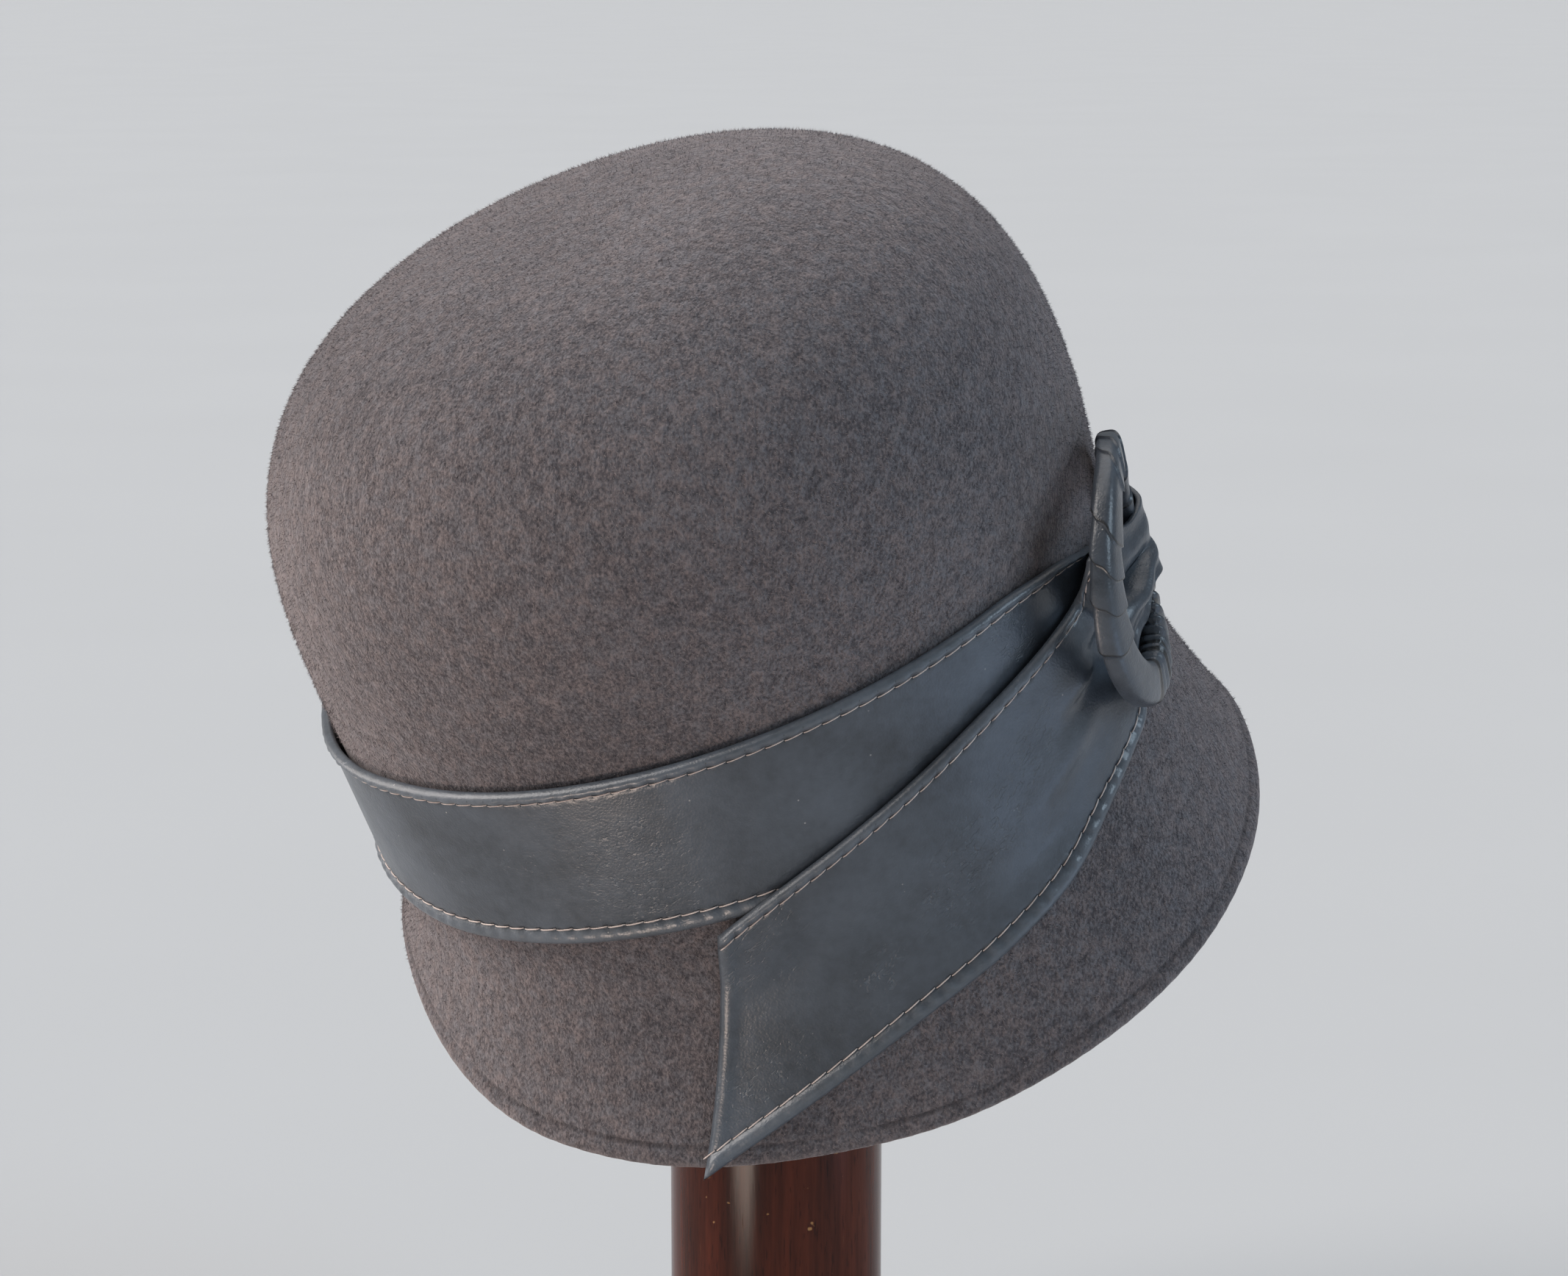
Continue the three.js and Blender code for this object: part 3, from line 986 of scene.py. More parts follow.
@dataclass
class LeatherSkin:
    """A strip's outer face, and the closed skin round it."""

    make: StripMake
    middle: Array

    def __post_init__(self) -> None:
        """Works out the normals, the way along, and the outer and inner face."""
        make = self.make
        self.normal = facing(self.middle)
        self.along = run_lengths(self.middle)
        across = make.shares() * make.width
        self.across = np.broadcast_to(across, self.along.shape)
        inward = np.minimum(across, make.width - across)
        hem = np.minimum(across / make.upper_in, (make.width - across) / make.lower_in)
        to_end = self.along[-1:] - self.along
        ends = self.rounded(np.minimum(self.along, to_end), make.end_round)
        sewn = eased(self.along, make.sewn_from - make.sewing_ease, make.sewn_from) if make.sewn_from else 1.0
        body = self.rounded(inward, make.edge_round) * ends
        holes = np.cos(2.0 * math.pi * self.along / make.pitch)
        count = int(self.along.max() / make.pitch) + 2
        uneven = np.random.default_rng(make.seed).uniform(*make.pillow_range, count)
        swell = bell(hem, make.pillow_at, make.pillow_spread)
        pillows = holes * uneven[(self.along / make.pitch).astype(int)] * swell
        roll = make.roll * np.sin(math.pi * np.clip(hem, 0.0, 1.0) ** make.roll_skew) - make.pillow * pillows
        sunk = (make.groove + make.pucker * holes) * bell(hem, 1.0, make.groove_spread)
        fold = make.end_fold * bell(to_end, make.fold_at, make.fold_spread)
        raised = (make.leather / 2) * body + ((roll - sunk) * sewn + fold) * ends
        self.outer = self.middle + self.normal * raised[..., None]
        self.inner = self.middle - self.normal * ((make.leather / 2) * body)[..., None]
        # Paler at the hems and the tie's end: partly rubbed wear, partly painted highlight on the puffs
        # between stitches and on the end's bevel.
        at_end = make.end_sheen * bell(to_end, 0.0, make.end_sheen_spread) if make.end_fold else 0.0
        at_hem = (1.0 - eased(hem, make.rub_and_sheen_from, 1.0)) * sewn * (make.rub_and_sheen - make.pillow_sheen * pillows)
        self.rubbed_and_sheen = np.maximum(at_hem, at_end)

    @staticmethod
    def rounded(distance: Array, radius: float) -> Array:
        """Gives a quarter round that rises from 0 at the edge to 1 at the radius."""
        return np.sqrt(1.0 - (1.0 - np.clip(distance / radius, 0.0, 1.0)) ** 2)

    def closed(self) -> tuple[Array, Array, Array]:
        """Gives the closed skin's points, their places along and across it, and how much paler rubbing and
        painted highlight make them.
        """
        points = np.concatenate([self.outer, self.inner[:, -2:0:-1], self.outer[:, :1]], axis=1)
        face = np.stack([self.along, self.across, self.rubbed_and_sheen], axis=-1)
        round_about = np.concatenate([face, face[:, -2:0:-1], face[:, :1]], axis=1)
        return points, round_about[..., :2], round_about[..., 2]

    def stitch_frames(self, column: int) -> tuple[Array, Array, Array, Array]:
        """Gives where the stitches of one hem lie.

        Args:
            column: the column of the skin that they run along
        Returns:
            Their middles, and their directions along, across and out of the leather.
        """
        run = self.along[:, column]
        spots = np.arange(self.make.first_stitch, run[-1] / self.make.pitch) * self.make.pitch
        spots = spots[spots > self.make.sewn_from]
        seam = self.outer[:, column]
        lines = (seam, self.normal[:, column], np.gradient(seam, axis=0))
        middles, normals, runs = (
            np.stack([np.interp(spots, run, line[:, axis]) for axis in range(3)], axis=-1) for line in lines
        )
        along = unit(runs)
        across = unit(np.cross(normals, along))
        return middles, along, across, np.cross(along, across)


@dataclass
class LeatherStrip:
    """A strip of leather on the hat, with its stitches."""

    form: HatForm
    make: StripMake
    name: str
    node: str
    leather: str
    held: str
    # Spots where its creases carry a painted highlight.
    worn: tuple[CrackleSheenSpot, ...]
    thread: ThreadFinish = field(default_factory=ThreadFinish)
    thread_radius: float = 0.18
    stitch_share: float = 0.97
    stitch_slant: float = 4.0

    def middle(self) -> Array:
        """Gives the strip's middle surface in the hat's frame, rows along it and columns across it."""
        raise NotImplementedError

    def build(self) -> bpy.types.Object:
        """Makes the strip and its stitches."""
        skin = LeatherSkin(self.make, self.middle())
        points, places, rubbed_and_sheen = skin.closed()
        piece = laid_grid(self.name, self.form.placed(points), places * MM, {"rubbed_and_sheen": rubbed_and_sheen})
        fit_out(piece, self.make.look(self.leather, self.worn).material(), Slot.LEATHER, self.node)
        stitches = self.stitches(skin)
        round(self.make.width * MM, 3)
        return piece

    def stitches(self, skin: LeatherSkin) -> bpy.types.Object:
        """Makes both rows of stitches as one piece.

        Args:
            skin: the strip that they are sewn through
        Returns:
            The stitches.
        """
        bases, origins = [], []
        slant = math.radians(self.stitch_slant)
        for column in self.make.stitch_columns():
            spot, along, across, out = skin.stitch_frames(column)
            leaning = along * math.cos(slant) + across * math.sin(slant)
            aside = np.cross(out, leaning)
            long_way = leaning * self.make.pitch * self.stitch_share
            bases.append(np.stack([long_way, aside * self.thread_radius, out * self.thread_radius], axis=1))
            origins.append(spot)
        turned = self.form.turned(np.concatenate(bases))
        spots = self.form.placed(np.concatenate(origins))
        piece = joined_copies(self.name + "_stitches", stitch_pattern(), turned, spots)
        return fit_out(piece, self.thread.material(), Slot.LEATHER)


def stitch_pattern(thinner: float = 0.3, rise: float = 0.7, dip: float = 1.5) -> bmesh.types.BMesh:
    """Makes one stitch: a thread of length 1 along X and radius 1, whose ends dip into their holes.

    Args:
        thinner: how much thinner its ends are
        rise: how far its middle stands up
        dip: how far its ends go down
    Returns:
        The stitch.
    """
    mesh = bmesh.new()
    bmesh.ops.create_cone(mesh, cap_ends=True, segments=6, radius1=1.0, radius2=1.0, depth=1.0)
    bmesh.ops.rotate(mesh, verts=mesh.verts, matrix=Matrix.Rotation(math.radians(90.0), 3, "Y"))
    long_edges = [edge for edge in mesh.edges if abs(edge.verts[0].co.x - edge.verts[1].co.x) > 0.5]
    bmesh.ops.subdivide_edges(mesh, edges=long_edges, cuts=4)
    for vert in mesh.verts:
        at_end = abs(2.0 * vert.co.x) ** 4
        vert.co.y *= 1.0 - thinner * at_end
        vert.co.z = vert.co.z * (1.0 - thinner * at_end) + rise - dip * at_end
    return mesh


@dataclass(frozen=True)
class BandRow:
    """One section of the band: its angle, and the heights of its lower and upper edge."""

    angle: float
    low: float
    high: float


@dataclass
class LeatherBand(LeatherStrip):
    """The band round the crown, drawn in where its two ends go to the ring."""

    make: StripMake = StripMake(45.0)
    name: str = "band_strip"
    node: str = "leather_band"
    leather: str = "band_leather"
    held: str = "stretched"
    # Spots where the band's creases carry a painted highlight.
    worn: tuple[CrackleSheenSpot, ...] = (CrackleSheenSpot(0.0365, 0.011, 0.009), CrackleSheenSpot(0.144, 0.027, 0.02))
    rows: tuple[BandRow, ...] = (
        BandRow(-25.0, 24.0, 34.5),
        BandRow(-33.0, 11.0, 41.0),
        BandRow(-45.0, 0.0, 45.0),
        BandRow(-150.0, 0.0, 45.0),
        BandRow(-180.0, 2.5, 41.0),
        BandRow(-210.0, 0.0, 45.0),
        BandRow(-312.0, 0.0, 45.0),
        BandRow(-340.0, 1.0, 23.0),
        BandRow(-356.0, 2.0, 18.0),
    )
    lift: float = 1.85
    steps: int = 620
    easing: int = 15

    def edges(self, angle: Array) -> tuple[Array, Array]:
        """Gives the heights of the lower and upper edge at falling angles."""
        turns = [-row.angle for row in self.rows]
        low = np.interp(-angle, turns, [row.low for row in self.rows])
        high = np.interp(-angle, turns, [row.high for row in self.rows])
        return low, high

    def middle(self) -> Array:
        """Gives the band's middle surface."""
        angle = np.linspace(self.rows[0].angle, self.rows[-1].angle, self.steps)
        kernel = np.ones(self.easing) / self.easing
        pad = self.easing // 2
        low, high = (np.convolve(np.pad(edge, pad, "edge"), kernel, "valid") for edge in self.edges(angle))
        height = high[:, None] + (low - high)[:, None] * self.make.shares()[None]
        return self.form.wall(angle[:, None], height, self.lift)


@dataclass(frozen=True)
class RingSeat:
    """Where the ring stands on the crown: x to its far rim, y up, and out from its face. Millimetres."""

    form: HatForm
    angle: float = -24.7
    height: float = 27.2
    standoff: float = 9.5
    turn: float = -13.3
    dip: float = 5.5
    bend_radius: float = 109.0

    def placed(self, x: Array, y: Array, out: Array) -> Array:
        """Gives points of the ring's frame in the hat's, bent back on both sides of the ring's middle.

        Args:
            x: the way to the far rim
            y: the way up
            out: the way out of the ring's face
        Returns:
            The points.
        """
        turn = math.radians(self.turn)
        face = unit(np.array((math.cos(turn), math.sin(turn), -math.tan(math.radians(self.dip)))))
        far = np.array((-math.sin(turn), math.cos(turn), 0.0))
        up = np.cross(face, far)
        angle = np.array(self.angle)
        origin = self.form.at_radius(angle, self.form.oval(angle, self.standoff), np.array(self.height))
        bent = out - x * x / (2.0 * self.bend_radius)
        return origin + x[..., None] * far + y[..., None] * up + bent[..., None] * face


@dataclass(frozen=True)
class TieRow:
    """One section of the tie, from its upper edge to its foot.

    On the hat an edge is an angle and a height, and off is how far the edges stand off what they lie on.
    In the ring an edge is a place across and up the ring, and off is how far out of its face the edges are.
    On the rim an edge is a distance from the ring's middle and an angle round it, with off as in the ring.
    A ridge stands up at a share of the way across.
    """

    on: Place
    top: tuple[float, float]
    foot: tuple[float, float]
    off: tuple[float, float]
    pleat: float = 0.0
    ridge: float = 0.0
    ridge_at: float = 0.5


@dataclass
class LeatherTie(LeatherStrip):
    """The tie: sewn on past the ring, over its far rim, gathered through it, and down across the brim."""

    make: StripMake = StripMake(53.0, leather=1.5, end_fold=0.5, sewn_from=98.0)
    name: str = "tie_strip"
    node: str = "leather_tie"
    leather: str = "tie_leather"
    held: str = "gathered"
    # Spots where the tie's creases carry a painted highlight.
    worn: tuple[CrackleSheenSpot, ...] = (
        CrackleSheenSpot(0.172, 0.031, 0.016),
        CrackleSheenSpot(0.158, 0.025, 0.013),
        CrackleSheenSpot(0.148, 0.02, 0.011),
        CrackleSheenSpot(0.197, 0.037, 0.012),
        CrackleSheenSpot(0.232, 0.01, 0.011),
        CrackleSheenSpot(0.236, 0.04, 0.009),
    )
    seat: RingSeat | None = None
    rows: tuple[TieRow, ...] = (
        TieRow(Place.HAT, (17.0, 15.0), (17.0, 1.0), (0.0, 0.0)),
        TieRow(Place.HAT, (6.0, 17.0), (6.0, 3.0), (0.7, 0.7)),
        TieRow(Place.RIM, (36.6, 6.0), (36.6, -28.0), (1.8, 1.8), 0.1),
        TieRow(Place.RIM, (28.6, 5.0), (28.6, -34.0), (4.7, 5.6), 0.1, ridge=-0.5, ridge_at=0.6),
        TieRow(Place.RIM, (20.4, 4.0), (20.4, -46.0), (1.0, 2.8), 0.1, ridge=-2.6, ridge_at=0.62),
        TieRow(Place.RING, (10.0, 5.0), (8.5, -19.5), (-4.0, -0.2), 0.2, ridge=-5.6, ridge_at=0.62),
        TieRow(Place.RING, (-5.0, 11.0), (0.5, -20.0), (-5.2, -3.0), 0.3, ridge=-2.6, ridge_at=0.66),
        TieRow(Place.RING, (-19.0, 15.5), (-2.0, -28.0), (-5.6, -5.2), 0.4),
        TieRow(Place.HAT, (-35.2, 32.1), (-29.5, -9.8), (0.6, 0.2), ridge=1.6, ridge_at=0.2),
        TieRow(Place.HAT, (-42.9, 30.0), (-34.4, -14.0), (1.3, 0.3), ridge=2.2, ridge_at=0.34),
        TieRow(Place.HAT, (-49.4, 27.3), (-42.7, -20.5), (0.5, 0.2), ridge=1.4, ridge_at=0.58),
        TieRow(Place.HAT, (-57.4, 24.2), (-53.0, -28.3), (0.1, 0.1), ridge=0.4, ridge_at=0.72),
        TieRow(Place.HAT, (-69.0, 18.7), (-66.0, -34.3), (0.0, 0.0)),
        TieRow(Place.HAT, (-82.0, 12.0), (-80.3, -39.7), (0.0, 0.0)),
        TieRow(Place.HAT, (-94.5, 5.0), (-97.5, -48.2), (0.0, 0.0)),
        TieRow(Place.HAT, (-104.8, -2.2), (-115.6, -58.3), (0.0, 0.0)),
    )
    pleats: int = 3
    on_band: float = 4.55
    on_brim: float = 1.75
    step_down: tuple[float, float] = (4.0, 18.0)
    ridge_rise: float = 6.5
    ridge_fall: float = 2.4
    hollow: float = 0.5
    hollow_share: float = 0.6
    end_margin_share: float = 0.6
    steps: int = 26

    def section(self, row: TieRow) -> Array:
        """Gives one section's points.

        Args:
            row: the section
        Returns:
            Its points from the upper edge to the foot.
        """
        share = self.make.shares()
        x, y, off = (a + (b - a) * share for a, b in (*zip(row.top, row.foot), row.off))
        off = off + row.pleat * np.cos(2.0 * math.pi * self.pleats * share)
        off = off + row.ridge * self.ridge(share - row.ridge_at)
        if row.on is Place.RIM:
            x, y = x * np.cos(np.radians(y)), x * np.sin(np.radians(y))
        if row.on is not Place.HAT:
            return self.seat.placed(x, y, off)
        down = eased(-y, *self.step_down)
        return self.form.wall(x, y, self.on_band + (self.on_brim - self.on_band) * down + off)

    def ridge(self, share: Array) -> Array:
        """Gives the ridge's form: a gentle rise to its crest, and a steep fall into a hollow past it."""
        past = share * self.make.width
        crest = bell(past, 0.0, np.where(past < 0.0, self.ridge_rise, self.ridge_fall))
        return crest - self.hollow * bell(past, self.ridge_rise, self.ridge_rise * self.hollow_share)

    def middle(self) -> Array:
        """Gives the tie's middle surface."""
        return curved_through(np.array([self.section(row) for row in self.rows]), self.steps)

    def covers(self, angle: Array, height: Array, margin: float) -> Array:
        """Says which places on the hat lie under the tail, by a margin."""
        tail = [row for row in self.rows if row.on is Place.HAT and row.top[0] < 0.0]
        upper = np.interp(-angle, [-row.top[0] for row in tail], [row.top[1] for row in tail])
        lower = np.interp(-angle, [-row.foot[0] for row in tail], [row.foot[1] for row in tail])
        end = tail[-1]
        slope = (end.foot[0] - end.top[0]) / (end.foot[1] - end.top[1])
        end_line = end.top[0] + slope * (height - end.top[1])
        before_end = angle > end_line + margin * self.end_margin_share
        inside = (height < upper - margin) & (height > lower + margin)
        return inside & before_end & (angle < tail[0].foot[0])


@dataclass
class WrappedRing:
    """The flat hoop, wound with leather whose turns lap each other, drawn into gathers at its foot."""

    form: HatForm
    seat: RingSeat
    finish: LeatherFinish = LeatherFinish("ring_leather", lap_shade=0.9)
    outer_radius: float = 33.5
    width: float = 11.0
    thickness: float = 6.7
    flatness: float = 3.4
    turn_starts: tuple[float, ...] = (
        10.0, 34.0, 58.0, 78.0, 92.0, 129.0, 146.5, 164.0, 185.0, 250.0, 290.0, 325.0, 346.0
    )
    lap: float = 0.55
    slant: float = 3.0
    more_slant: float = 7.5
    most_slant_at: float = 95.0
    turn_steps: int = 24
    turn_body: float = 0.93
    lap_steps: tuple[float, ...] = (0.95, 0.965, 0.985)
    sides: int = 56
    gather_at: float = 292.0
    gather_spread: float = 34.0
    gathers: int = 44
    gather_depth: float = 1.0
    gather_sink: float = 1.3
    valley_fade: float = 0.3

    def build(self) -> bpy.types.Object:
        """Makes the ring."""
        shares = np.append(np.linspace(0.0, self.turn_body, self.turn_steps), self.lap_steps)
        starts = np.array((*self.turn_starts, self.turn_starts[0] + 360.0))
        around = np.append((starts[:-1, None] + np.diff(starts)[:, None] * shares).ravel(), starts[-1])
        share = np.append(np.tile(shares, len(self.turn_starts)), 0.0)
        section = np.radians(np.linspace(0.0, 360.0, self.sides + 1))[:, None]
        slant = self.slant + self.more_slant * np.cos(np.radians(around - self.most_slant_at))
        around = around + slant * np.sin(section)
        gather = bell((around - self.gather_at + 180.0) % 360.0 - 180.0, 0.0, self.gather_spread)
        swell = np.abs(np.cos(np.radians(around * self.gathers / 2)))
        folds = gather * self.gather_depth * (2.0 * swell - self.gather_sink)
        shrink = self.lap * (1.0 - share) * (1.0 - gather) - folds
        across, over = (self.squared(side) for side in (np.cos(section), np.sin(section)))
        middle = self.outer_radius - self.width / 2
        radius = middle + (self.width / 2 - shrink) * across
        out = (self.thickness / 2 - shrink) * over
        turned = np.radians(around)
        points = self.seat.placed(radius * np.cos(turned), radius * np.sin(turned), out)
        run = np.broadcast_to(turned * middle, out.shape)
        girth = np.broadcast_to(section * self.width / 2, out.shape)
        places = np.stack([run, girth], axis=-1) * MM
        # Painted shade in the valleys of the gathered foot.
        valley_shade = np.clip(2.0 * gather, 0.0, 1.0) * (1.0 - self.valley_fade * swell)
        marks = {"lap": share * (1.0 - gather) + valley_shade}
        piece = laid_grid("ring_wrap", self.form.placed(points), places, marks)
        return fit_out(piece, self.finish.material(), Slot.LEATHER, "wrapped_ring")

    def squared(self, side: Array) -> Array:
        """Swells a circle's sine or cosine into that of a flat, round-cornered section."""
        return np.sign(side) * np.abs(side) ** (2.0 / self.flatness)


@dataclass
class FeltNap:
    """The short fibres that stand off the felt, in three tones."""

    felt: FeltBody
    band: LeatherBand
    tie: LeatherTie
    tones: tuple[NapFinish, ...] = (
        NapFinish("nap_pale", linear(142, 133, 132)),
        NapFinish("nap_mid", linear(106, 101, 104)),
        NapFinish("nap_dark", linear(78, 74, 78)),
    )
    fibres: int = 44000
    shortest: float = 0.6
    longest: float = 1.3
    width: float = 0.07
    root_depth: float = 0.08
    lean_out: float = 0.5
    lean_down: float = 0.45
    lean_aside: float = 0.2
    lean_scatter: float = 0.38
    least_out: float = 0.15
    push_out: float = 0.4
    bare_margin: float = 0.8
    bare_seam: tuple[float, float] = (-0.4, 0.7)
    seed: int = 11

    def build(self) -> None:
        """Scatters the fibres over the outer face, apart from what the leather covers."""
        draw = np.random.default_rng(self.seed)
        points, _, heights = self.felt.rows()
        start = len(points) // 2
        skin, height = points[start:], heights[start:]
        up = np.gradient(skin, axis=0)
        side = np.gradient(skin, axis=1)
        size = np.linalg.norm(np.cross(up, side), axis=-1)[:-1, :-1]
        chance = size.ravel() / size.sum()
        for tone in self.tones:
            pick = draw.choice(size.size, self.fibres * 2, p=chance)
            row, column = np.unravel_index(pick, size.shape)
            part = draw.random((2, len(pick)))
            angle = (column + part[1]) / self.felt.columns * 360.0 - 360.0
            high = height[row, column] + (height[row + 1, column] - height[row, column]) * part[0]
            kept = np.flatnonzero(~self.covered(angle, high))[: self.fibres]
            row, column, part = row[kept], column[kept], part[:, kept, None]
            near = skin[row, column] + (skin[row + 1, column] - skin[row, column]) * part[0]
            root = near + (skin[row, column + 1] - skin[row, column]) * part[1]
            rise, aside = unit(up[row, column]), unit(side[row, column])
            out = unit(np.cross(aside, rise))
            lean = out * self.lean_out - rise * self.lean_down + aside * self.lean_aside
            lean = lean + draw.normal(0.0, self.lean_scatter, root.shape)
            stands_out = (lean * out).sum(-1, keepdims=True)
            lean = unit(np.where(stands_out < self.least_out, lean + out * self.push_out, lean))
            length = draw.uniform(self.shortest, self.longest, len(root))[:, None]
            flat = unit(np.cross(lean, out))
            bases = np.stack([flat * self.width, np.cross(lean, flat) * self.width, lean * length], axis=1)
            form = self.felt.form
            sunk = form.placed(root - out * self.root_depth)
            piece = joined_copies("felt_" + tone.name, fibre_pattern(), form.turned(bases), sunk)
            fit_out(piece, tone.material(), Slot.FELT)

    def covered(self, angle: Array, height: Array) -> Array:
        """Says which places on the hat the band or the tail covers, or the brim's seam draws in."""
        low, high = self.band.edges(angle)
        first, last = self.band.rows[0].angle, self.band.rows[-1].angle
        within = (height > low + self.bare_margin) & (height < high - self.bare_margin)
        under_band = within & (angle < first) & (angle > last)
        over_seam = height + self.felt.form.drop(angle) - self.felt.groove_up
        drawn_in = (over_seam > self.bare_seam[0]) & (over_seam < self.bare_seam[1])
        return under_band | drawn_in | self.tie.covers(angle, height, self.bare_margin)


def fibre_pattern() -> bmesh.types.BMesh:
    """Makes one fibre: a three-sided spike of length 1 along Z and radius 1, closed at its root."""
    mesh = bmesh.new()
    bmesh.ops.create_cone(mesh, cap_ends=True, segments=3, radius1=1.0, radius2=0.0, depth=1.0)
    bmesh.ops.remove_doubles(mesh, verts=mesh.verts, dist=MERGE)
    bmesh.ops.translate(mesh, verts=mesh.verts, vec=(0.0, 0.0, 0.5))
    return mesh


@dataclass
class Stand:
    """A turned post with a round end inside the crown, on a turned foot. Millimetres."""

    finish: WoodFinish = field(default_factory=WoodFinish)
    post_radius: float = 27.0
    post_top: float = 360.0
    foot_radius: float = 80.0
    foot_height: float = 22.0
    foot_step_radius: float = 46.0
    foot_round: float = 5.0
    foot_edge: float = 2.0
    foot_bevel: float = 0.4
    gap: float = 0.4
    corner: float = 0.8
    hold: float = 1.0
    post_hold: float = 4.0
    post_rows: int = 12
    steps: int = 96
    curve_steps: int = 10

    def build(self) -> None:
        """Makes the post and the foot."""
        wood = self.finish.material()
        fit_out(self.spun("post_turned", self.post_outline()), wood, Slot.WOOD, "stand_post")
        fit_out(self.spun("foot_turned", self.foot_outline()), wood, Slot.WOOD, "stand_foot")

    def post_outline(self) -> list[tuple[float, float]]:
        """Gives the post's half outline as radius and height."""
        base, radius = self.foot_height + self.gap, self.post_radius
        rows = [(0.0, base), (radius - self.corner, base), (radius, base + self.corner)]
        shoulder = self.post_top - radius
        rows += [(radius, height) for height in np.linspace(base + self.post_hold, shoulder, self.post_rows)]
        for turn in np.radians(np.linspace(0.0, 90.0, 2 * self.curve_steps))[1:-1]:
            rows.append((radius * math.cos(turn), shoulder + radius * math.sin(turn)))
        return [*rows, (0.0, self.post_top)]

    def foot_outline(self) -> list[tuple[float, float]]:
        """Gives the foot's half outline: a rounded rim, a hollow sweep and a flat step under the post."""
        rim, bead, step, top = self.foot_radius, self.foot_round, self.foot_step_radius, self.foot_height
        curves = (
            ((rim - bead, 0.0), (rim, 0.0), (rim, bead)),
            ((rim, bead), (rim, 2 * bead), (rim - bead, 2 * bead)),
            ((rim - bead, 2 * bead), (step + bead, 2 * bead), (step, top - self.foot_edge)),
        )
        rows = [(0.0, 0.0), (rim - bead - self.hold, 0.0)]
        for start, pull, end in (np.array(curve) for curve in curves):
            for t in np.linspace(0.0, 1.0, self.curve_steps):
                rows.append(tuple(start * (1 - t) ** 2 + pull * 2 * t * (1 - t) + end * t * t))
        edge = self.foot_edge
        bevel = self.foot_bevel * edge
        flat = [(step - edge, top), (step - edge - self.hold, top), (0.0, top)]
        return [*rows, (step - bevel, top - bevel), *flat]

    def spun(self, name: str, outline: list[tuple[float, float]]) -> bpy.types.Object:
        """Spins a half outline round the upright axis.

        Args:
            name: the piece's name
            outline: its points as radius and height, from axis to axis
        Returns:
            The piece.
        """
        mesh = bmesh.new()
        verts = [mesh.verts.new((radius * MM, 0.0, height * MM)) for radius, height in outline]
        edges = [mesh.edges.new(pair) for pair in zip(verts, verts[1:])]
        bmesh.ops.spin(
            mesh,
            geom=[*verts, *edges],
            cent=(0, 0, 0),
            axis=(0, 0, 1),
            angle=2 * math.pi,
            steps=self.steps,
            use_merge=True,
        )
        bmesh.ops.remove_doubles(mesh, verts=mesh.verts, dist=MERGE)
        bmesh.ops.recalc_face_normals(mesh, faces=mesh.faces)
        return as_object(mesh, name)


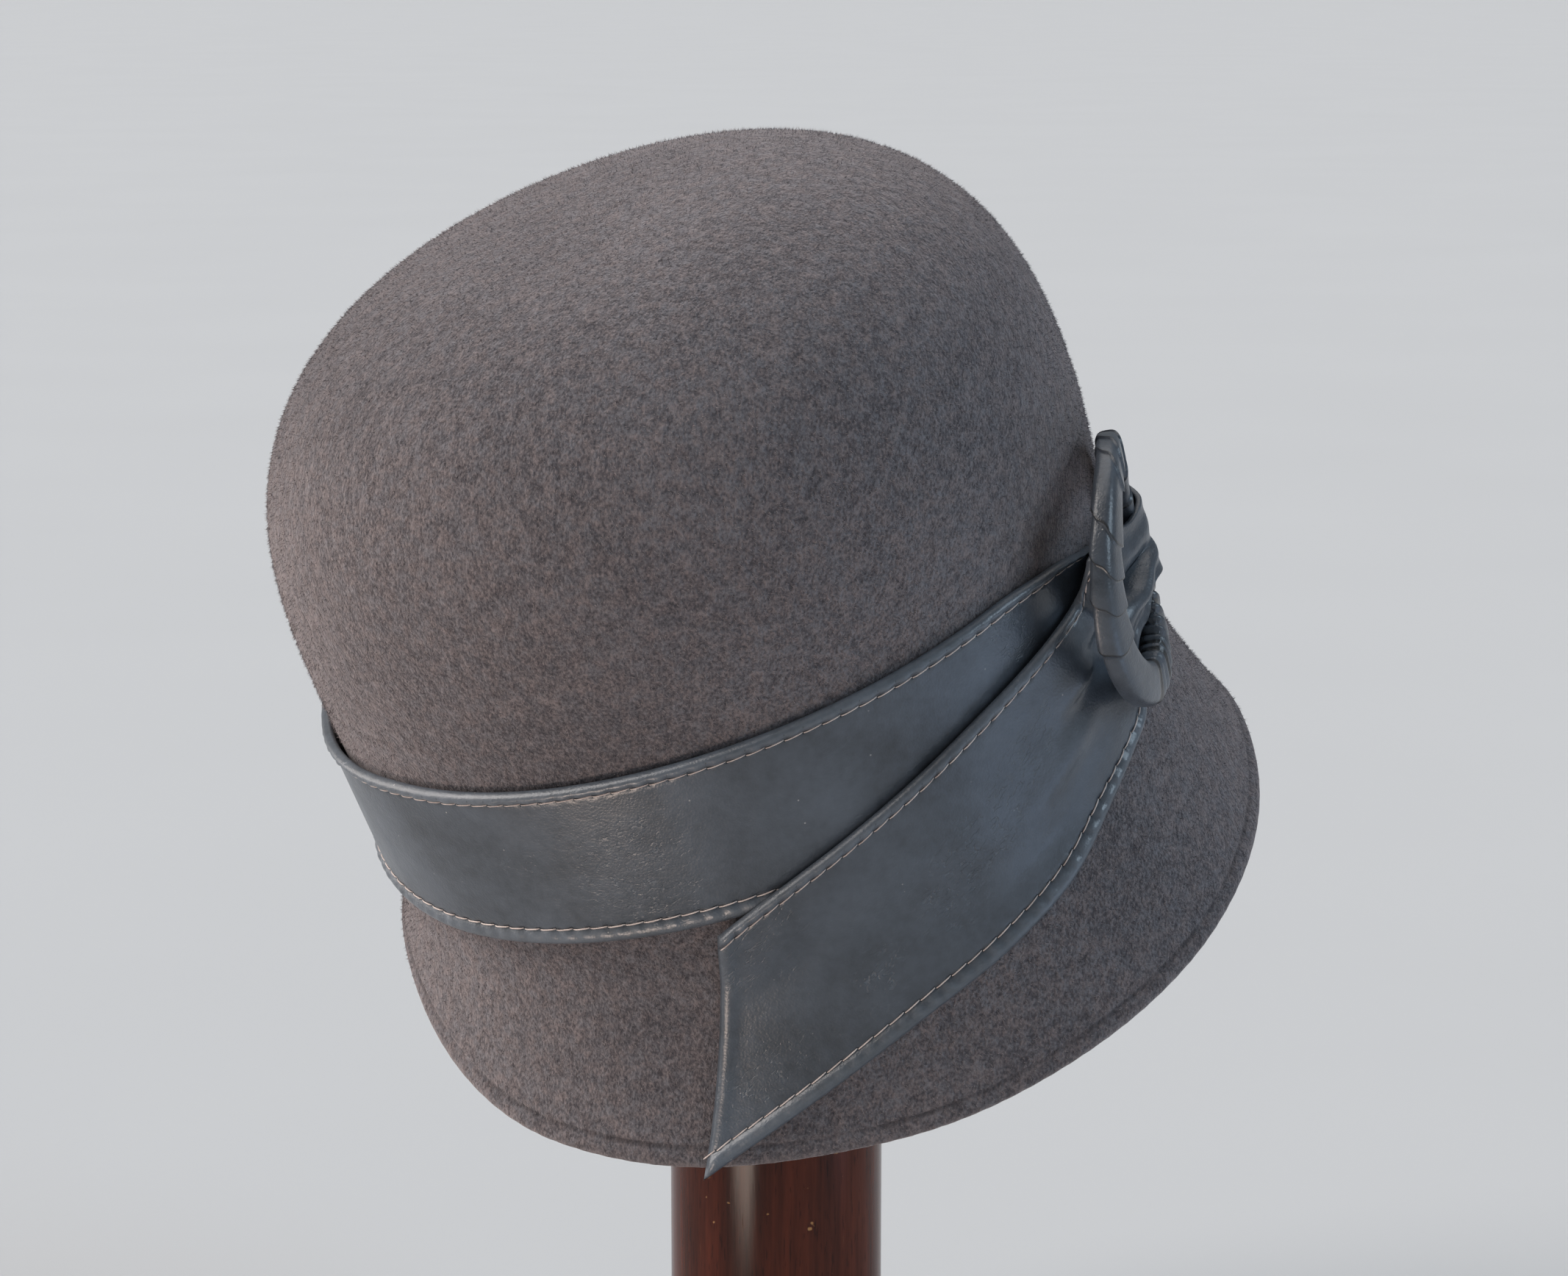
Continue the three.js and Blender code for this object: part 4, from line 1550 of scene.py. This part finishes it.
@dataclass
class Studio:
    """The floor, the lights and the camera."""

    lens_mm: float = 90.7
    sensor_mm: float = 36.0
    sight: float = 200.0
    camera_at: Triple = (0.002, -0.9748, 0.40885)
    camera_down: float = 10.0
    floor_half: float = 30.0
    room_colour: Colour = (0.9, 0.95, 1.0)
    room_light: float = 0.2

    def build(self) -> None:
        """Sets up the floor, the room's light, the lamps and the camera."""
        mesh = bmesh.new()
        bmesh.ops.create_grid(mesh, x_segments=1, y_segments=1, size=self.floor_half)
        floor = as_object(mesh, "floor")
        floor.data.materials.append(FloorFinish().material())
        world = bpy.data.worlds.new("soft_room")
        world.use_nodes = True
        background = world.node_tree.nodes["Background"].inputs
        background["Color"].default_value = (*self.room_colour, 1.0)
        background["Strength"].default_value = self.room_light
        bpy.context.scene.world = world
        self.lamp("key", 2.55, (1.0, 0.94, 0.9), (-78.0, 42.0), 40.0)
        self.lamp("side", 2.15, (1.0, 0.93, 0.88), (-105.0, 8.0), 50.0)
        self.lamp("fill", 1.5, (0.68, 0.85, 1.0), (70.0, 30.0), 36.0)
        self.lamp("top", 1.0, (1.0, 0.96, 0.94), (-150.0, 70.0), 60.0)
        self.card("post_card", (-0.205, -0.295, 0.01), (0.14, 0.11), 0.9, (1.0, 0.8, 0.68))
        self.card("tail_card", (0.66, -0.2, 0.01), (0.66, 0.26), 0.55, (0.4, 0.62, 1.0))
        bpy.context.scene.view_settings.view_transform = "Standard"
        self.camera()

    def camera(self) -> None:
        """Adds the camera where the photograph was taken from."""
        lens = bpy.data.cameras.new("photo_view")
        lens.lens = self.lens_mm
        lens.sensor_width = self.sensor_mm
        lens.clip_end = self.sight
        camera = linked("photo_view", lens)
        camera.location = self.camera_at
        camera.rotation_euler = (math.radians(90.0 - self.camera_down), 0.0, 0.0)
        bpy.context.scene.camera = camera

    def card(self, name: str, at: Triple, size: tuple[float, float], power: float, colour: Colour) -> None:
        """Lays a glowing card on the floor, out of the camera's sight.

        Args:
            name: the card's name
            at: its middle
            size: its two sides
            power: how much light it gives
            colour: its colour
        """
        light = bpy.data.lights.new(name, "AREA")
        light.shape = "RECTANGLE"
        light.size, light.size_y = size
        light.energy = power
        light.color = colour
        card = linked(name, light)
        card.location = at
        card.rotation_euler = (math.radians(180.0), 0.0, 0.0)
        card.visible_camera = False

    def lamp(
        self, name: str, strength: float, colour: Colour, comes_from: tuple[float, float], wide: float
    ) -> None:
        """Adds a wide, far lamp.

        Args:
            name: the lamp's name
            strength: its light on a facing surface
            colour: its colour
            comes_from: its angle to the right of the camera, and its angle over the floor
            wide: how wide it looks, in degrees
        """
        light = bpy.data.lights.new(name, "SUN")
        light.energy = strength
        light.color = colour
        light.angle = math.radians(wide)
        lamp = linked(name, light)
        across, up = (math.radians(angle) for angle in comes_from)
        towards = Vector((math.sin(across) * math.cos(up), -math.cos(across) * math.cos(up), math.sin(up)))
        lamp.rotation_euler = towards.to_track_quat("Z", "Y").to_euler()


def main() -> None:
    """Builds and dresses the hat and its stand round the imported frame."""
    logging.basicConfig(level=logging.INFO, format="%(name)s %(message)s")
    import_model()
    form = HatForm()
    seat = RingSeat(form)
    felt = FeltBody(form)
    band = LeatherBand(form)
    tie = LeatherTie(form, seat=seat)
    ring = WrappedRing(form, seat)
    for part in (Studio(), felt, band, tie, ring, FeltNap(felt, band, tie), Stand()):
        part.build()


if __name__ == "__main__":
    main()
